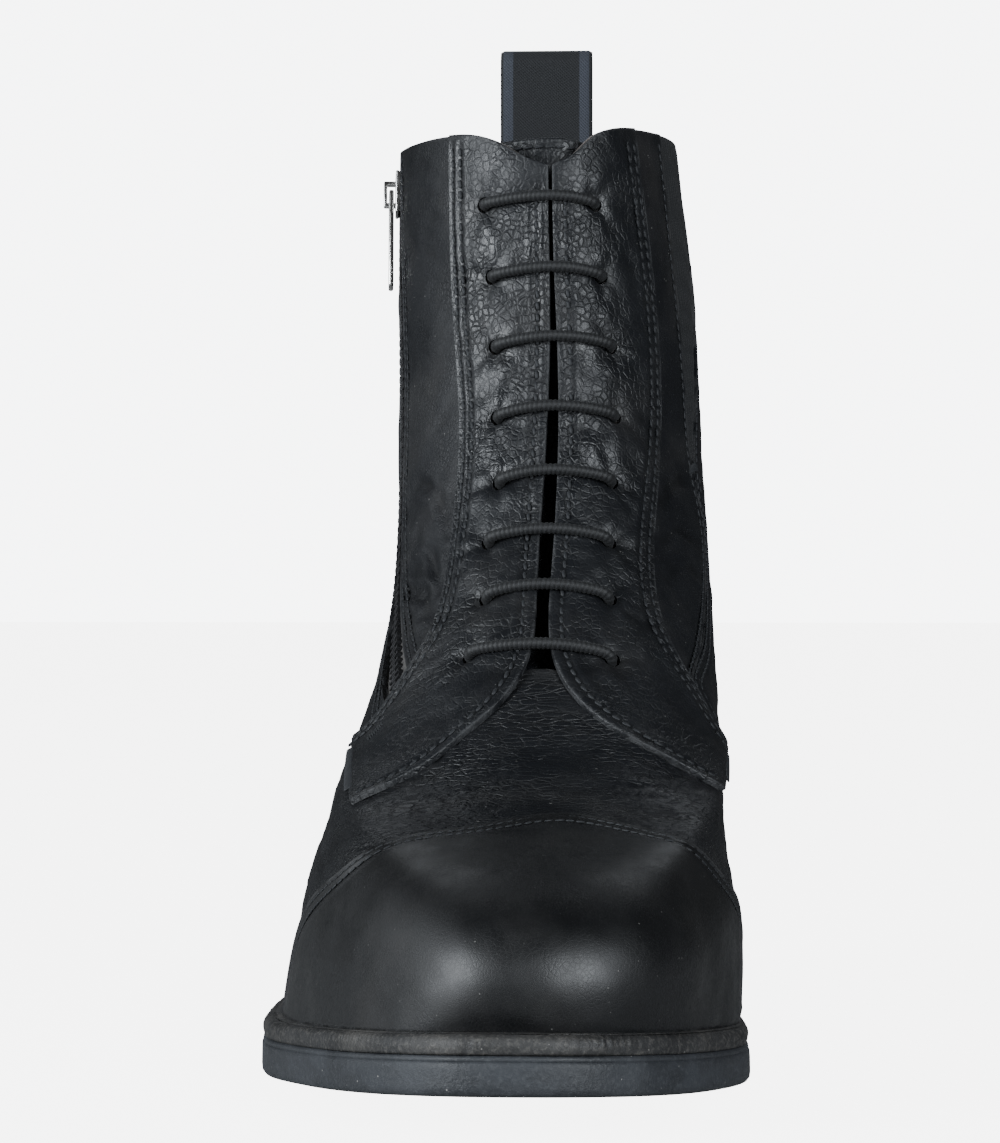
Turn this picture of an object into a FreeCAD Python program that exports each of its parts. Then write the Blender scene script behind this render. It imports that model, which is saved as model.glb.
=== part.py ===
"""Lace-up ankle boot with a toe cap, a side zip and an elastic gore, as a parametric assembly.

Millimetres, +Z up, toe towards -Y, zip side towards -X.  The upper follows one form: closed level
curves from the feather line, where the upper meets the welt, to the rim.  A place on the form is
(station, level): stations run 0..16 round the boot from the centre of the toe by the zip side (4) and
the heel (8) to the gore side (12, or -4), levels run 0 at the feather line to 11 at the rim.
"""
import FreeCAD, Part
import math
import os

from FreeCAD import Placement, Rotation, Vector

doc = FreeCAD.newDocument("lace_up_ankle_boot")
sheet = doc.addObject("Spreadsheet::Sheet", "Sizes")

SIZES = [
    ("outsole_thickness", 8.2, "rubber outsole under the welt"),
    ("welt_thickness", 4.2, "welt and filler between outsole and upper"),
    ("insole_thickness", 2.2, "fibre insole board"),
    ("footbed_thickness", 4.0, "loose padded footbed"),
    ("heel_cap_thickness", 6.0, "rubber top piece under the heel"),
    ("heel_front", 66.0, "distance of the heel breast behind the origin of the form"),
    ("blank_width", 130.0, "width of the blanks that the sole outlines are cut from"),
    ("blank_height", 60.0, "depth of the outline cuts"),
    ("shank_width", 14.0, "steel shank"),
    ("shank_thickness", 1.5, "steel shank"),
    ("cap_leather", 1.3, "leather of the cap, facings and back strap, which lie over the rest"),
    ("leather", 1.4, "leather of the vamp, the side panels and the counter"),
    ("lining_leather", 1.6, "lining"),
    ("tongue_thickness", 3.0, "padded tongue"),
    ("tongue_depth", 4.5, "tongue below the form, behind the lace"),
    ("cord_diameter", 2.8, "elastic lace"),
    ("hole_diameter", 4.0, "punched lace holes"),
    ("zip_slot", 9.0, "opening between the leather edges at the zip"),
    ("tape_width", 12.5, "one zip tape"),
    ("tape_thickness", 0.6, "one zip tape"),
    ("tooth_pitch", 2.5, "zip teeth along one tape"),
    ("slider_length", 11.0, "zip slider"),
    ("slider_width", 7.6, "zip slider"),
    ("pull_length", 26.0, "zip pull"),
    ("pull_width", 5.0, "zip pull"),
    ("pull_thickness", 1.3, "zip pull"),
    ("webbing_width", 25.0, "pull loop"),
    ("webbing_thickness", 1.5, "pull loop"),
    ("loop_height", 34.0, "pull loop above the rim"),
]
for row, (alias, value, note) in enumerate(SIZES, start=1):
    sheet.set(f"A{row}", alias)
    sheet.set(f"B{row}", str(value))
    sheet.set(f"C{row}", note)
    sheet.setAlias(f"B{row}", alias)
doc.recompute()


def size(alias):
    """Value of a driving dimension from the sheet."""
    return float(sheet.get(alias))


# --- the form -----------------------------------------------------------------------------------

# Feather line from toe to heel: distance along the boot, half width zip side, half width gore side.
FEATHER = [
    (-141.5, -4, 4), (-131, 21, 27), (-97, 39.5, 41), (-60, 50.5, 46.5), (-15, 53.5, 41.5),
    (32, 43.5, 31), (85, 35, 31.5), (122, 26.5, 25), (140.5, 0, 0),
]
# Levels above it: front y, z; back y, z; half width zip side, gore side; centre x front, back;
# and how far the level has turned from the foot's outline (0) to an ellipse (1).
LEVELS = [
    (-144, 31, 146, 50, 50, 46.8, 4, 0, 0.02),
    (-137.5, 41.5, 149, 63, 47, 45.3, 4.5, 0, 0.06),
    (-119, 49, 147, 77, 45, 44.7, 5, 0, 0.14),
    (-91, 53.5, 143, 92, 43, 44.7, 5, 0, 0.25),
    (-61, 62, 139, 108, 40, 44.5, 4, 0, 0.40),
    (-32, 82, 137, 124, 37, 43.5, 3, 0, 0.58),
    (-8, 106, 136.5, 141, 36.3, 42, 3, -1, 0.75),
    (9, 132, 138, 160, 36.8, 40.2, 4, -2, 0.88),
    (18, 162, 139.5, 183, 37.4, 38.5, 4.5, -2.3, 0.96),
    (22, 194, 141, 204, 37.7, 36, 3.5, -2.3, 1.0),
    (24, 225, 142, 225, 37.6, 33.2, 3, -2.3, 1.0),
]
STATIONS = 16
HALF = STATIONS // 2
TOP_LEVEL = len(LEVELS)

# Underside of the outsole along the boot: toe spring, tread, waist and heel seat (y, z).
UNDERSIDE = [
    (-150, 9), (-113, 5), (-77, 1.9), (-40, 0), (0, 2), (30, 8.5), (60, 18), (100, 22), (150, 23.5),
]
# Outline of the sole seen from above.
SOLE_OUTLINE = [
    (3, -149.5), (-23, -138), (-44, -100), (-56.5, -62), (-58.5, -17), (-48, 32), (-39.5, 85),
    (-31, 126), (0, 147), (30, 126), (36.5, 85), (35.5, 32), (45, -15), (50, -61), (45, -99),
    (28.5, -136),
]

DECAY = math.sqrt(3.0) - 2.0   # neighbouring weights of the interpolating cubic spline
REACH = 8                      # neighbours that still matter


def smooth_poles(count, value_at):
    """Poles of the uniform cubic spline that passes through value_at(i)."""
    poles = []
    for index in range(count):
        total = value_at(index)
        for step in range(1, REACH + 1):
            total = total + (value_at(index - step) + value_at(index + step)) * DECAY ** step
        poles.append(total * math.sqrt(3.0))
    return poles


def reflected(values, index):
    """Value at any index, continued past both ends by reflection through the end values."""
    last = len(values) - 1
    if index < 0:
        return values[0] * 2 - reflected(values, -index)
    if index > last:
        return values[last] * 2 - reflected(values, 2 * last - index)
    return values[index]


def spline_weights(f):
    """Weights of four neighbouring poles at fraction f of a span."""
    g = 1.0 - f
    return (g ** 3 / 6, (3 * f ** 3 - 6 * f ** 2 + 4) / 6, (3 * g ** 3 - 6 * g ** 2 + 4) / 6, f ** 3 / 6)


def spline_slopes(f):
    """Derivatives of spline_weights."""
    g = 1.0 - f
    return (-g * g / 2, (3 * f * f - 4 * f) / 2, (1 + 2 * f - 3 * f * f) / 2, f * f / 2)


class Track:
    """Smooth curve through hand-placed (station, level) points, run over 0..1."""

    def __init__(self, *points):
        self.points = [Vector(point[0], point[1], 0) for point in points]
        count = len(self.points) + 2
        self.poles = smooth_poles(count, lambda index: reflected(self.points, index - 1))

    def at(self, fraction):
        """Point at a fraction of the curve."""
        spans = len(self.points) - 1
        place = min(max(fraction, 0.0), 1.0) * spans
        span = min(int(place), spans - 1)
        total = Vector()
        for weight, pole in zip(spline_weights(place - span), self.poles[span:span + 4]):
            total = total + pole * weight
        return total


UNDERSIDE_CURVE = Track(*UNDERSIDE)


def underside(y):
    """Height of the outsole's underside at y."""
    low, high = 0.0, 1.0
    for _ in range(30):
        middle = (low + high) / 2
        if UNDERSIDE_CURVE.at(middle).x < y:
            low = middle
        else:
            high = middle
    return UNDERSIDE_CURVE.at(low).y


def feather_row():
    """The 16 points of the feather line, on top of the welt."""
    on_welt = size("outsole_thickness") + size("welt_thickness")
    ring = []
    for y, zip_half, _ in FEATHER:
        ring.append(Vector(-zip_half, y, underside(y) + on_welt))
    for y, _, gore_half in FEATHER[-2:0:-1]:
        ring.append(Vector(gore_half, y, underside(y) + on_welt))
    return ring


def level_row(front_y, front_z, back_y, back_z, zip_half, gore_half, front_x, back_x, turned):
    """The 16 points of one level: the foot's outline turned part of the way to an ellipse."""
    ring = []
    first, last = FEATHER[0][0], FEATHER[-1][0]
    for station in range(STATIONS):
        on_zip_side = station <= HALF
        step = station if on_zip_side else STATIONS - station
        y, zip_foot, gore_foot = FEATHER[step]
        foot = zip_foot if on_zip_side else gore_foot
        widest = max(entry[1 if on_zip_side else 2] for entry in FEATHER)
        angle = math.pi * step / HALF
        along = (1 - turned) * (y - first) / (last - first) + turned * (1 - math.cos(angle)) / 2
        foot_share = foot / widest if 0 < step < HALF else 0.0
        aside = (1 - turned) * foot_share + turned * math.sin(angle)
        centre = front_x + (back_x - front_x) * along
        half = -zip_half if on_zip_side else gore_half
        ring.append(Vector(half * aside + centre * (1 - aside),
                           front_y + (back_y - front_y) * along,
                           front_z + (back_z - front_z) * along))
    return ring


class Form:
    """The boot's outer surface as one smooth function of station and level."""

    def __init__(self):
        rows = [feather_row()] + [level_row(*level) for level in LEVELS]
        columns = []
        for station in range(STATIONS):
            column = [row[station] for row in rows]
            columns.append(smooth_poles(len(rows) + 2, lambda i, c=column: reflected(c, i - 1)))
        self.poles = []
        for level in range(len(rows) + 2):
            ring = [column[level] for column in columns]
            self.poles.append(smooth_poles(STATIONS, lambda i, r=ring: r[i % STATIONS]))

    def blend(self, station, level, across, up):
        """Weighted sum of the 16 poles round a place."""
        column = math.floor(station)
        row = min(max(math.floor(level), 0), TOP_LEVEL - 1)
        total = Vector()
        for j, up_weight in enumerate(up(level - row)):
            poles = self.poles[row + j]
            for i, across_weight in enumerate(across(station - column)):
                total = total + poles[(column + i - 1) % STATIONS] * (up_weight * across_weight)
        return total

    def normal(self, station, level):
        """Outward direction, kept horizontal close to the feather line."""
        around = self.blend(station, level, spline_slopes, spline_weights)
        upwards = self.blend(station, level, spline_weights, spline_slopes)
        outward = upwards.cross(around)
        outward.z = outward.z * min(1.0, max(0.0, level / 0.6))
        return outward.normalize()

    def point(self, station, level, lift=0.0):
        """Point on the form, or above it by lift."""
        place = self.blend(station, level, spline_weights, spline_weights)
        return place + self.normal(station, level) * lift if lift else place


form = Form()


def feather_height(y):
    """Height of the feather line at y, the same on both sides; past its ends it follows the underside."""
    low, high = 0.0, float(HALF)
    for _ in range(30):
        middle = (low + high) / 2
        if form.point(middle, 0.0).y < y:
            low = middle
        else:
            high = middle
    here = form.point(low, 0.0)
    return here.z + underside(y) - underside(here.y)


def level_at_height(station, height):
    """Level where the form reaches a height."""
    low, high = 0.0, float(TOP_LEVEL)
    for _ in range(40):
        middle = (low + high) / 2
        if form.point(station, middle).z < height:
            low = middle
        else:
            high = middle
    return low


def rim(first, last, steps=8):
    """Points of the rim line between two stations: a shallow dip at the front, highest on the gore side."""
    points = []
    for step in range(steps + 1):
        station = first + (last - first) * step / steps
        angle = 2 * math.pi * station / STATIONS
        dip = 9.5 * math.exp(-(station / 0.75) ** 2)
        height = 218.8 + 1.3 * math.sin(-angle) + 1.2 * (1 - math.cos(angle)) / 2 - dip
        points.append((station, level_at_height(station, height)))
    return points


# --- leather panels --------------------------------------------------------------------------------

def across_patch(bottom, right, top, left, s, t):
    """Place inside four curves; bottom and top run along s, left and right along t."""
    sides = bottom.at(s) * (1 - t) + top.at(s) * t + left.at(t) * (1 - s) + right.at(t) * s
    near = bottom.at(0) * (1 - s) + bottom.at(1) * s
    far = top.at(0) * (1 - s) + top.at(1) * s
    return sides - near * (1 - t) - far * t


def smooth_surface(rows):
    """Uniform cubic surface through a grid of points."""
    across = [smooth_poles(len(row) + 2, lambda i, r=row: reflected(r, i - 1)) for row in rows]
    poles = []
    for column in zip(*across):
        poles.append(smooth_poles(len(rows) + 2, lambda i, c=column: reflected(c, i - 1)))
    knots = [[float(index - 3) for index in range(len(run) + 4)] for run in (poles, poles[0])]
    surface = Part.BSplineSurface()
    surface.buildFromPolesMultsKnots(poles, [1] * len(knots[0]), [1] * len(knots[1]), knots[0], knots[1],
                                     False, False, 3, 3)
    surface.segment(*surface.bounds())
    return surface


def panel_solid(sides, inner, outer, grid):
    """Closed solid between two lifts above the form, bounded by four curves on it."""
    faces = []
    surfaces = []
    across, along = grid
    for lift in (outer, inner):
        rows = []
        for j in range(along + 1):
            row = []
            for i in range(across + 1):
                place = across_patch(*sides, i / across, j / along)
                height = lift(j / along) if callable(lift) else lift
                row.append(form.point(place.x, place.y, height))
            rows.append(row)
        surface = smooth_surface(rows)
        surfaces.append(surface)
        faces.append(surface.toShape())
    outside, inside = surfaces
    for end in (0, 1):
        for iso, first in (("uIso", 0), ("vIso", 2)):
            edge = getattr(outside, iso)(outside.bounds()[first + end]).toShape()
            partner = getattr(inside, iso)(inside.bounds()[first + end]).toShape()
            faces.append(Part.makeRuledSurface(edge, partner, 1))
    shell = Part.makeShell(faces)
    shell.sewShape()
    return Part.makeSolid(shell)


parts = []


def keep(label, shape):
    """Add a sub-part whose shape was made directly."""
    feature = doc.addObject("Part::Feature", label)
    feature.Label = label
    feature.Shape = shape
    parts.append(feature)
    return feature


def panel(label, sides, inner, outer, grid=(10, 10)):
    """Add a leather panel."""
    return keep(label, panel_solid(sides, inner, outer, grid))


def line(start, end):
    """Straight run between two places on the form."""
    return Track(start, end)


# Lace rows from the top: level, station of the hole on the zip side and on the gore side.
LACE_ROWS = [
    (10.18, 1.00, -0.80), (9.62, 0.90, -0.86), (9.08, 0.86, -0.98), (8.52, 0.82, -1.00),
    (7.97, 0.76, -0.93), (7.42, 0.88, -0.88), (6.88, 0.86, -0.86), (6.30, 1.08, -0.86),
]

OVER = size("cap_leather")
FOOT = 0.008                 # level at which the upper starts, a hair above the welt
SEAT = 0.08                  # lift of leather that lies on other leather
BASE = -size("leather")
LINED = BASE - size("lining_leather")

# Outer edges of the two facings, from the rim down to the end of the wing.
ZIP_FACING_EDGE = [
    (1.58, 9.75), (1.50, 9.0), (1.42, 8.3), (1.48, 7.6), (1.58, 6.95), (1.85, 6.35), (2.35, 5.75),
    (2.95, 5.0), (3.45, 4.4),
]
GORE_FACING_EDGE = [
    (-1.93, 9.75), (-1.97, 9.0), (-1.90, 8.3), (-1.70, 7.6), (-1.58, 6.95), (-1.75, 6.35),
    (-2.2, 5.75), (-2.75, 5.05), (-3.3, 4.45),
]
# Inner edges: down beside the lace, round the point over the vamp and along the wing.
ZIP_FACING_INNER = [
    (0.05, 9.6), (0.09, 8.8), (0.11, 8.0), (0.11, 7.2), (0.14, 6.45), (0.55, 5.92), (1.2, 5.42),
    (1.95, 4.55), (2.62, 3.45),
]
GORE_FACING_INNER = [
    (-0.02, 9.6), (-0.05, 8.8), (-0.08, 8.0), (-0.08, 7.2), (-0.12, 6.45), (-0.52, 5.88),
    (-1.15, 5.42), (-1.95, 4.75), (-2.85, 3.65),
]


def rim_place(station):
    """Place on the rim line."""
    return rim(station, station, 1)[0]


def facing_sides(inner_edge, outer_edge, rim_inner, rim_outer):
    """Four curves of a facing that runs from the rim down and out along its wing."""
    inner = Track(rim_place(rim_inner), *inner_edge)
    outer = Track(rim_place(rim_outer), *outer_edge)
    top = Track(*rim(rim_inner, rim_outer, 4))
    return top, outer, line(inner_edge[-1], outer_edge[-1]), inner


def lace_holes(column):
    """Cutters for one facing's punched holes: column 1 is the zip side, 2 the gore side."""
    cutters = []
    for row in LACE_ROWS:
        start = form.point(row[column], row[0], 6.0)
        way = form.normal(row[column], row[0]) * -1
        cutters.append(Part.makeCylinder(size("hole_diameter") / 2, 14, start, way))
    return Part.Compound(cutters)


def make_facings():
    """Two eyelet facings over the shaft, and the leather linings behind their lace holes."""
    zip_sides = facing_sides(ZIP_FACING_INNER, ZIP_FACING_EDGE, 0.03, 1.60)
    gore_sides = facing_sides(GORE_FACING_INNER, GORE_FACING_EDGE, -0.03, -1.75)
    zip_stay = (Track(*rim(0.06, 1.16, 4)),
                Track(rim_place(1.16), (1.08, 9.0), (1.0, 8.3), (1.04, 7.6), (1.14, 6.9), (1.25, 6.0)),
                line((0.25, 6.38), (1.25, 6.0)), Track(rim_place(0.06), (0.13, 8.2), (0.25, 6.38)))
    gore_stay = (Track(*rim(-0.06, -1.22, 4)), line(rim_place(-1.22), (-1.2, 6.0)),
                 line((-0.25, 6.38), (-1.2, 6.0)),
                 Track(rim_place(-0.06), (-0.12, 8.2), (-0.25, 6.38)))
    for label, sides, inner, outer, column in (
            ("zip_side_facing", zip_sides, SEAT, OVER, 1),
            ("gore_side_facing", gore_sides, SEAT, OVER, 2),
            ("zip_side_facing_lining", zip_stay, BASE, 0.0, 1),
            ("gore_side_facing_lining", gore_stay, BASE, 0.0, 2)):
        keep(label, panel_solid(sides, inner, outer, (8, 24)).cut(lace_holes(column)))


# Toe cap seam in three runs, and the vamp's back edge, from the zip side over the instep.
CAP_SEAM_ZIP = [(3.38, FOOT), (3.12, 0.6), (2.75, 1.25), (2.3, 2.0)]
CAP_SEAM_TOP = [
    (2.3, 2.0), (1.85, 2.8), (1.1, 3.9), (0.05, 4.6), (-0.75, 4.35), (-1.5, 3.4), (-2.25, 2.2),
]
CAP_SEAM_GORE = [(-3.12, FOOT), (-3.0, 0.7), (-2.72, 1.4), (-2.25, 2.2)]
VAMP_BACK = [
    (3.92, FOOT), (3.89, 1.6), (3.82, 3.1), (3.3, 4.3), (2.2, 5.2), (1.1, 5.9), (0.0, 6.3),
    (-1.1, 5.9), (-2.2, 5.2), (-3.2, 4.3), (-3.75, 3.2), (-3.81, 1.6), (-3.84, FOOT),
]


def shrunk(points, share):
    """Seam points drawn in towards the toe."""
    return [(station * share, level * share) for station, level in points]


def toe_region(share):
    """Four curves round the toe, out to the cap seam drawn in by share."""
    zip_run = shrunk(CAP_SEAM_ZIP, share)
    gore_run = shrunk(CAP_SEAM_GORE, share)
    return (line(zip_run[0], gore_run[0]), Track(*gore_run), Track(*shrunk(CAP_SEAM_TOP, share)),
            Track(*zip_run))


def make_front():
    """Toe cap, the stiff puff under it, the vamp and the vamp's lining."""
    panel("toe_cap", toe_region(1.0), SEAT, OVER, (28, 20))
    panel("toe_puff", toe_region(0.86), BASE + SEAT, -SEAT, (28, 20))
    seam = shrunk(CAP_SEAM_ZIP + CAP_SEAM_TOP[1:-1] + CAP_SEAM_GORE[::-1], 0.9)
    vamp = (Track(*seam), line(seam[-1], VAMP_BACK[-1]), Track(*VAMP_BACK), line(seam[0], VAMP_BACK[0]))
    panel("vamp", vamp, BASE, 0.0, (30, 10))
    lining = (line((3.9, FOOT), (-3.82, FOOT)),
              Track((-3.82, FOOT), (-3.78, 1.6), (-3.65, 3.2)),
              Track((3.8, 3.1), (3.0, 4.45), (2.0, 5.3), (1.0, 5.85), (0.0, 6.05), (-1.0, 5.85),
                    (-2.0, 5.3), (-2.9, 4.5), (-3.65, 3.2)),
              Track((3.9, FOOT), (3.87, 1.6), (3.8, 3.1)))
    panel("vamp_lining", lining, LINED, BASE - SEAT, (36, 24))


# --- the zip -------------------------------------------------------------------------------------------

# Middle of the zip seen from the side (y, z): straight down the shaft, then forward over the ankle.
ZIP_TOP = (76.0, 217.0)
ZIP_TURN = (52.0, 131.0)
ZIP_BEND = [(41.0, 114.0), (25.0, 98.5), (5.0, 86.0), (-9.0, 79.0)]
GAP_TO_TAPE = 0.8        # room for the tapes between the side leather and its lining


def place_at(y, z, station=3.4, level=8.0):
    """Place on the zip side of the form that is seen at (y, z) from the side."""
    step = 0.001
    for _ in range(12):
        here = form.point(station, level)
        across = (form.point(station + step, level) - here) * (1 / step)
        up = (form.point(station, level + step) - here) * (1 / step)
        scale = across.y * up.z - up.y * across.z
        station += ((y - here.y) * up.z - up.y * (z - here.z)) / scale
        level += (across.y * (z - here.z) - (y - here.y) * across.z) / scale
    return station, level


ZIP_LINE = [
    (ZIP_TOP[0] + (ZIP_TURN[0] - ZIP_TOP[0]) * step / 4, ZIP_TOP[1] + (ZIP_TURN[1] - ZIP_TOP[1]) * step / 4)
    for step in range(5)
] + ZIP_BEND
ZIP_CURVE = Track(*ZIP_LINE)


def zip_place(fraction, aside):
    """Place beside the zip: aside is positive towards the heel."""
    here = ZIP_CURVE.at(fraction)
    ahead = ZIP_CURVE.at(fraction + 0.002) - ZIP_CURVE.at(fraction - 0.002)
    ahead.normalize()
    start = 5.5 if fraction > 0.75 else 8.0
    return place_at(here.x - ahead.y * aside, here.y + ahead.x * aside, 3.2, start)


def rim_height(station):
    """Height of the rim at a station."""
    return form.point(*rim_place(station)).z


def edge_from_rim(aside, last=1.0):
    """Leather edge beside the zip, from the rim down."""
    lower = [zip_place(0.04 + (last - 0.04) * step / 9, aside) for step in range(10)]
    return Track(rim_place(lower[0][0] + 0.015), *lower)


def zip_frame(fraction, lift):
    """Placement on the zip: local X outward, Y towards the toe, Z up along the zip."""
    centre = form.point(*zip_place(fraction, 0.0), lift)
    outward = form.normal(*zip_place(fraction, 0.0))
    along = form.point(*zip_place(fraction - 0.01, 0.0)) - form.point(*zip_place(fraction + 0.01, 0.0))
    across = along.cross(outward)
    return Placement(centre, Rotation(outward, across, along, "XZY"))


def even_marks(first, last, pitch):
    """Fractions of the zip at an even pitch along it."""
    marks = [first]
    steps = 900
    start = form.point(*zip_place(first, 0.0))
    for step in range(1, steps + 1):
        fraction = first + (last - first) * step / steps
        here = form.point(*zip_place(fraction, 0.0))
        if here.distanceToPoint(start) >= pitch:
            marks.append(fraction)
            start = here
    return marks


def make_zip():
    """Two tapes, two rows of teeth and their stops."""
    tape_low = BASE - 0.1 - size("tape_thickness")
    tooth_width, tooth_depth, overlap = 2.8, 1.4, 0.7
    tooth_height = size("tooth_pitch") * 0.38
    for label, way in (("zip_tape_front", -1), ("zip_tape_rear", 1)):
        near = edge_from_rim(way * 1.0, 0.97)
        far = edge_from_rim(way * size("tape_width"), 0.97)
        sides = (line(front_end(near, 0), front_end(far, 0)), far,
                 line(front_end(near, 1), front_end(far, 1)), near)
        panel(label, sides, tape_low, BASE - 0.1, (6, 20))
    marks = even_marks(0.035, 0.935, size("tooth_pitch") / 2)
    for label, first in (("zip_teeth_front", 0), ("zip_teeth_rear", 1)):
        teeth = []
        for fraction in marks[first::2]:
            tooth = Part.makeBox(tooth_depth, tooth_width, tooth_height)
            start = -overlap if label == "zip_teeth_front" else overlap - tooth_width
            tooth.translate(Vector(0, start, -tooth_height / 2))
            tooth.Placement = zip_frame(fraction, BASE - 0.1).multiply(tooth.Placement)
            teeth.append(tooth)
        keep(label, Part.Compound(teeth))
    for label, fraction, span in (("zip_top_stop", 0.015, 5.0), ("zip_bottom_stop", 0.955, 6.0)):
        stop = Part.makeBox(tooth_depth, span, 2.2)
        stop.translate(Vector(SEAT, -span / 2, -1.1))
        stop.Placement = zip_frame(fraction, BASE - 0.1).multiply(stop.Placement)
        keep(label, stop)


def front_end(track, fraction):
    """Place on a curve as a plain pair."""
    place = track.at(fraction)
    return (place.x, place.y)


SLIDER_FRACTION = 0.055      # where the slider stands when the zip is closed
PLATE_LIFT = 0.4             # slider plate above the teeth
PLATE_DEPTH = 0.9
ARCH_ROOM = 2.1              # height of the opening that holds the pull
ARCH_LENGTH = 7.0
ARCH_WALL = 0.9


def add_box(label, corner, span, bound=()):
    """Box feature with some of its edges bound to the sheet."""
    box = doc.addObject("Part::Box", label)
    box.Length, box.Width, box.Height = span
    for edge, expression in bound:
        box.setExpression(edge, expression)
    box.Placement = Placement(Vector(*corner), Rotation())
    return box


def make_slider():
    """Zip slider with side flanges and an arch, and the pull that swings in the arch."""
    place = zip_frame(SLIDER_FRACTION, BASE - 0.1 + 1.4)
    length, width = size("slider_length"), size("slider_width")
    half = length / 2
    arch_top = PLATE_LIFT + PLATE_DEPTH + ARCH_ROOM
    boxes = [add_box("slider_plate", (PLATE_LIFT, -width / 2, -half), (PLATE_DEPTH, width, length),
                     (("Width", "Sizes.slider_width"), ("Height", "Sizes.slider_length")))]
    for name, side in (("rear", -1), ("front", 1)):
        low = side * width / 2 - (0.8 if side > 0 else 0.0)
        boxes.append(add_box(f"slider_flange_{name}", (-0.9, low, -half), (1.3 + PLATE_DEPTH, 0.8, length),
                             (("Height", "Sizes.slider_length"),)))
    boxes.append(add_box("slider_arch_top", (arch_top, -0.8, -ARCH_LENGTH / 2),
                         (ARCH_WALL, 1.6, ARCH_LENGTH)))
    for name, side in (("upper", 1), ("lower", -1)):
        low = ARCH_LENGTH / 2 - 1.1 if side > 0 else -ARCH_LENGTH / 2
        boxes.append(add_box(f"slider_arch_{name}", (PLATE_LIFT + 0.3, -0.8, low),
                             (arch_top - PLATE_LIFT, 1.6, 1.1)))
    slider = doc.addObject("Part::MultiFuse", "zip_slider")
    slider.Shapes = boxes
    slider.Label = "zip_slider"
    slider.Placement = place
    parts.append(slider)

    pull = doc.addObject("PartDesign::Body", "zip_pull")
    pull.Label = "zip_pull"
    eye = size("pull_thickness") / 2
    room = 4.0
    half_pull = size("pull_width") / 2
    sketch = plane_sketch(pull, "YZ_Plane", "pull_outline")
    low = eye - size("pull_length")
    add_loop(sketch, [(-half_pull, eye), (half_pull, eye), (half_pull, low + 1.5), (half_pull - 1.5, low),
                      (1.5 - half_pull, low), (-half_pull, low + 1.5)])
    add_loop(sketch, [(-1.25, -eye), (1.25, -eye), (1.25, -eye - room), (-1.25, -eye - room)])
    pad = pull.newObject("PartDesign::Pad", "pull_bar")
    pad.Profile = sketch
    pad.setExpression("Length", "Sizes.pull_thickness")
    pad.SideType = "Symmetric"
    depth = PLATE_LIFT + PLATE_DEPTH + ARCH_ROOM / 2
    pull.Placement = place.multiply(Placement(Vector(depth, 0, 0), Rotation()))
    parts.append(pull)
    return place, depth


# --- sketch helpers ---------------------------------------------------------------------------------------

def plane_sketch(body, role, name):
    """Sketch attached to one of the body's own origin planes."""
    sketch = body.newObject("Sketcher::SketchObject", name)
    plane = next(item for item in body.Origin.OriginFeatures if item.Role == role)
    sketch.AttachmentSupport = [(plane, "")]
    sketch.MapMode = "FlatFace"
    return sketch


def add_loop(sketch, corners):
    """Closed polygon."""
    for start, end in zip(corners, corners[1:] + corners[:1]):
        sketch.addGeometry(Part.LineSegment(Vector(*start, 0), Vector(*end, 0)), False)


def add_curve(sketch, points, closed):
    """Smooth curve through points."""
    curve = Part.BSplineCurve()
    curve.interpolate(Points=[Vector(x, y, 0) for x, y in points], PeriodicFlag=closed)
    sketch.addGeometry(curve, False)


def inset(points, distance):
    """Closed outline moved inwards."""
    curve = Part.BSplineCurve()
    curve.interpolate(Points=[Vector(x, y, 0) for x, y in points], PeriodicFlag=True)
    moved = []
    for x, y in points:
        tangent = curve.tangent(curve.parameter(Vector(x, y, 0)))[0]
        inward = Vector(tangent.y, -tangent.x, 0) * distance
        moved.append((x + inward.x, y + inward.y))
    return moved


def side_band(sketch, lower, upper, first, last):
    """Strip seen from the side between two height functions."""
    steps = 30
    places = [first + (last - first) * step / steps for step in range(steps + 1)]
    add_curve(sketch, [(y, lower(y)) for y in places], False)
    add_curve(sketch, [(y, upper(y)) for y in places], False)
    for y in (first, last):
        sketch.addGeometry(Part.LineSegment(Vector(y, lower(y), 0), Vector(y, upper(y), 0)), False)


def cut_through(body, sketch, name):
    """Pocket through the whole blank."""
    pocket = body.newObject("PartDesign::Pocket", name)
    pocket.Profile = sketch
    pocket.Type = "Length"
    pocket.setExpression("Length", "Sizes.blank_height * 2")
    pocket.SideType = "Symmetric"


def sole_layer(label, outline, lower, upper, first=-155.0, last=155.0, hole=None):
    """Layer of the bottom: a strip curved along the boot, trimmed to an outline seen from above."""
    body = doc.addObject("PartDesign::Body", label)
    body.Label = label
    side = plane_sketch(body, "YZ_Plane", label + "_side")
    side_band(side, lower, upper, first, last)
    blank = body.newObject("PartDesign::Pad", label + "_blank")
    blank.Profile = side
    blank.setExpression("Length", "Sizes.blank_width")
    blank.SideType = "Symmetric"
    doc.recompute()
    before = blank.Shape.Volume
    trim = plane_sketch(body, "XY_Plane", label + "_outline")
    add_loop(trim, [(-90, -170), (90, -170), (90, 170), (-90, 170)])
    add_curve(trim, outline, True)
    cut_through(body, trim, label + "_trim")
    if hole:
        opening = plane_sketch(body, "XY_Plane", label + "_opening")
        add_curve(opening, hole, True)
        cut_through(body, opening, label + "_hollow")
    doc.recompute()
    if body.Shape.Volume > 0.95 * before:
        raise RuntimeError(label + " was not trimmed")
    parts.append(body)
    return body


def heel_outline(front):
    """Heel seen from above: the back of the sole, closed by a hollow breast."""
    back = [(-42, front), (-39.5, 85), (-31, 126), (0, 147), (30, 126), (36.5, 85), (36, front)]
    return back


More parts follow.
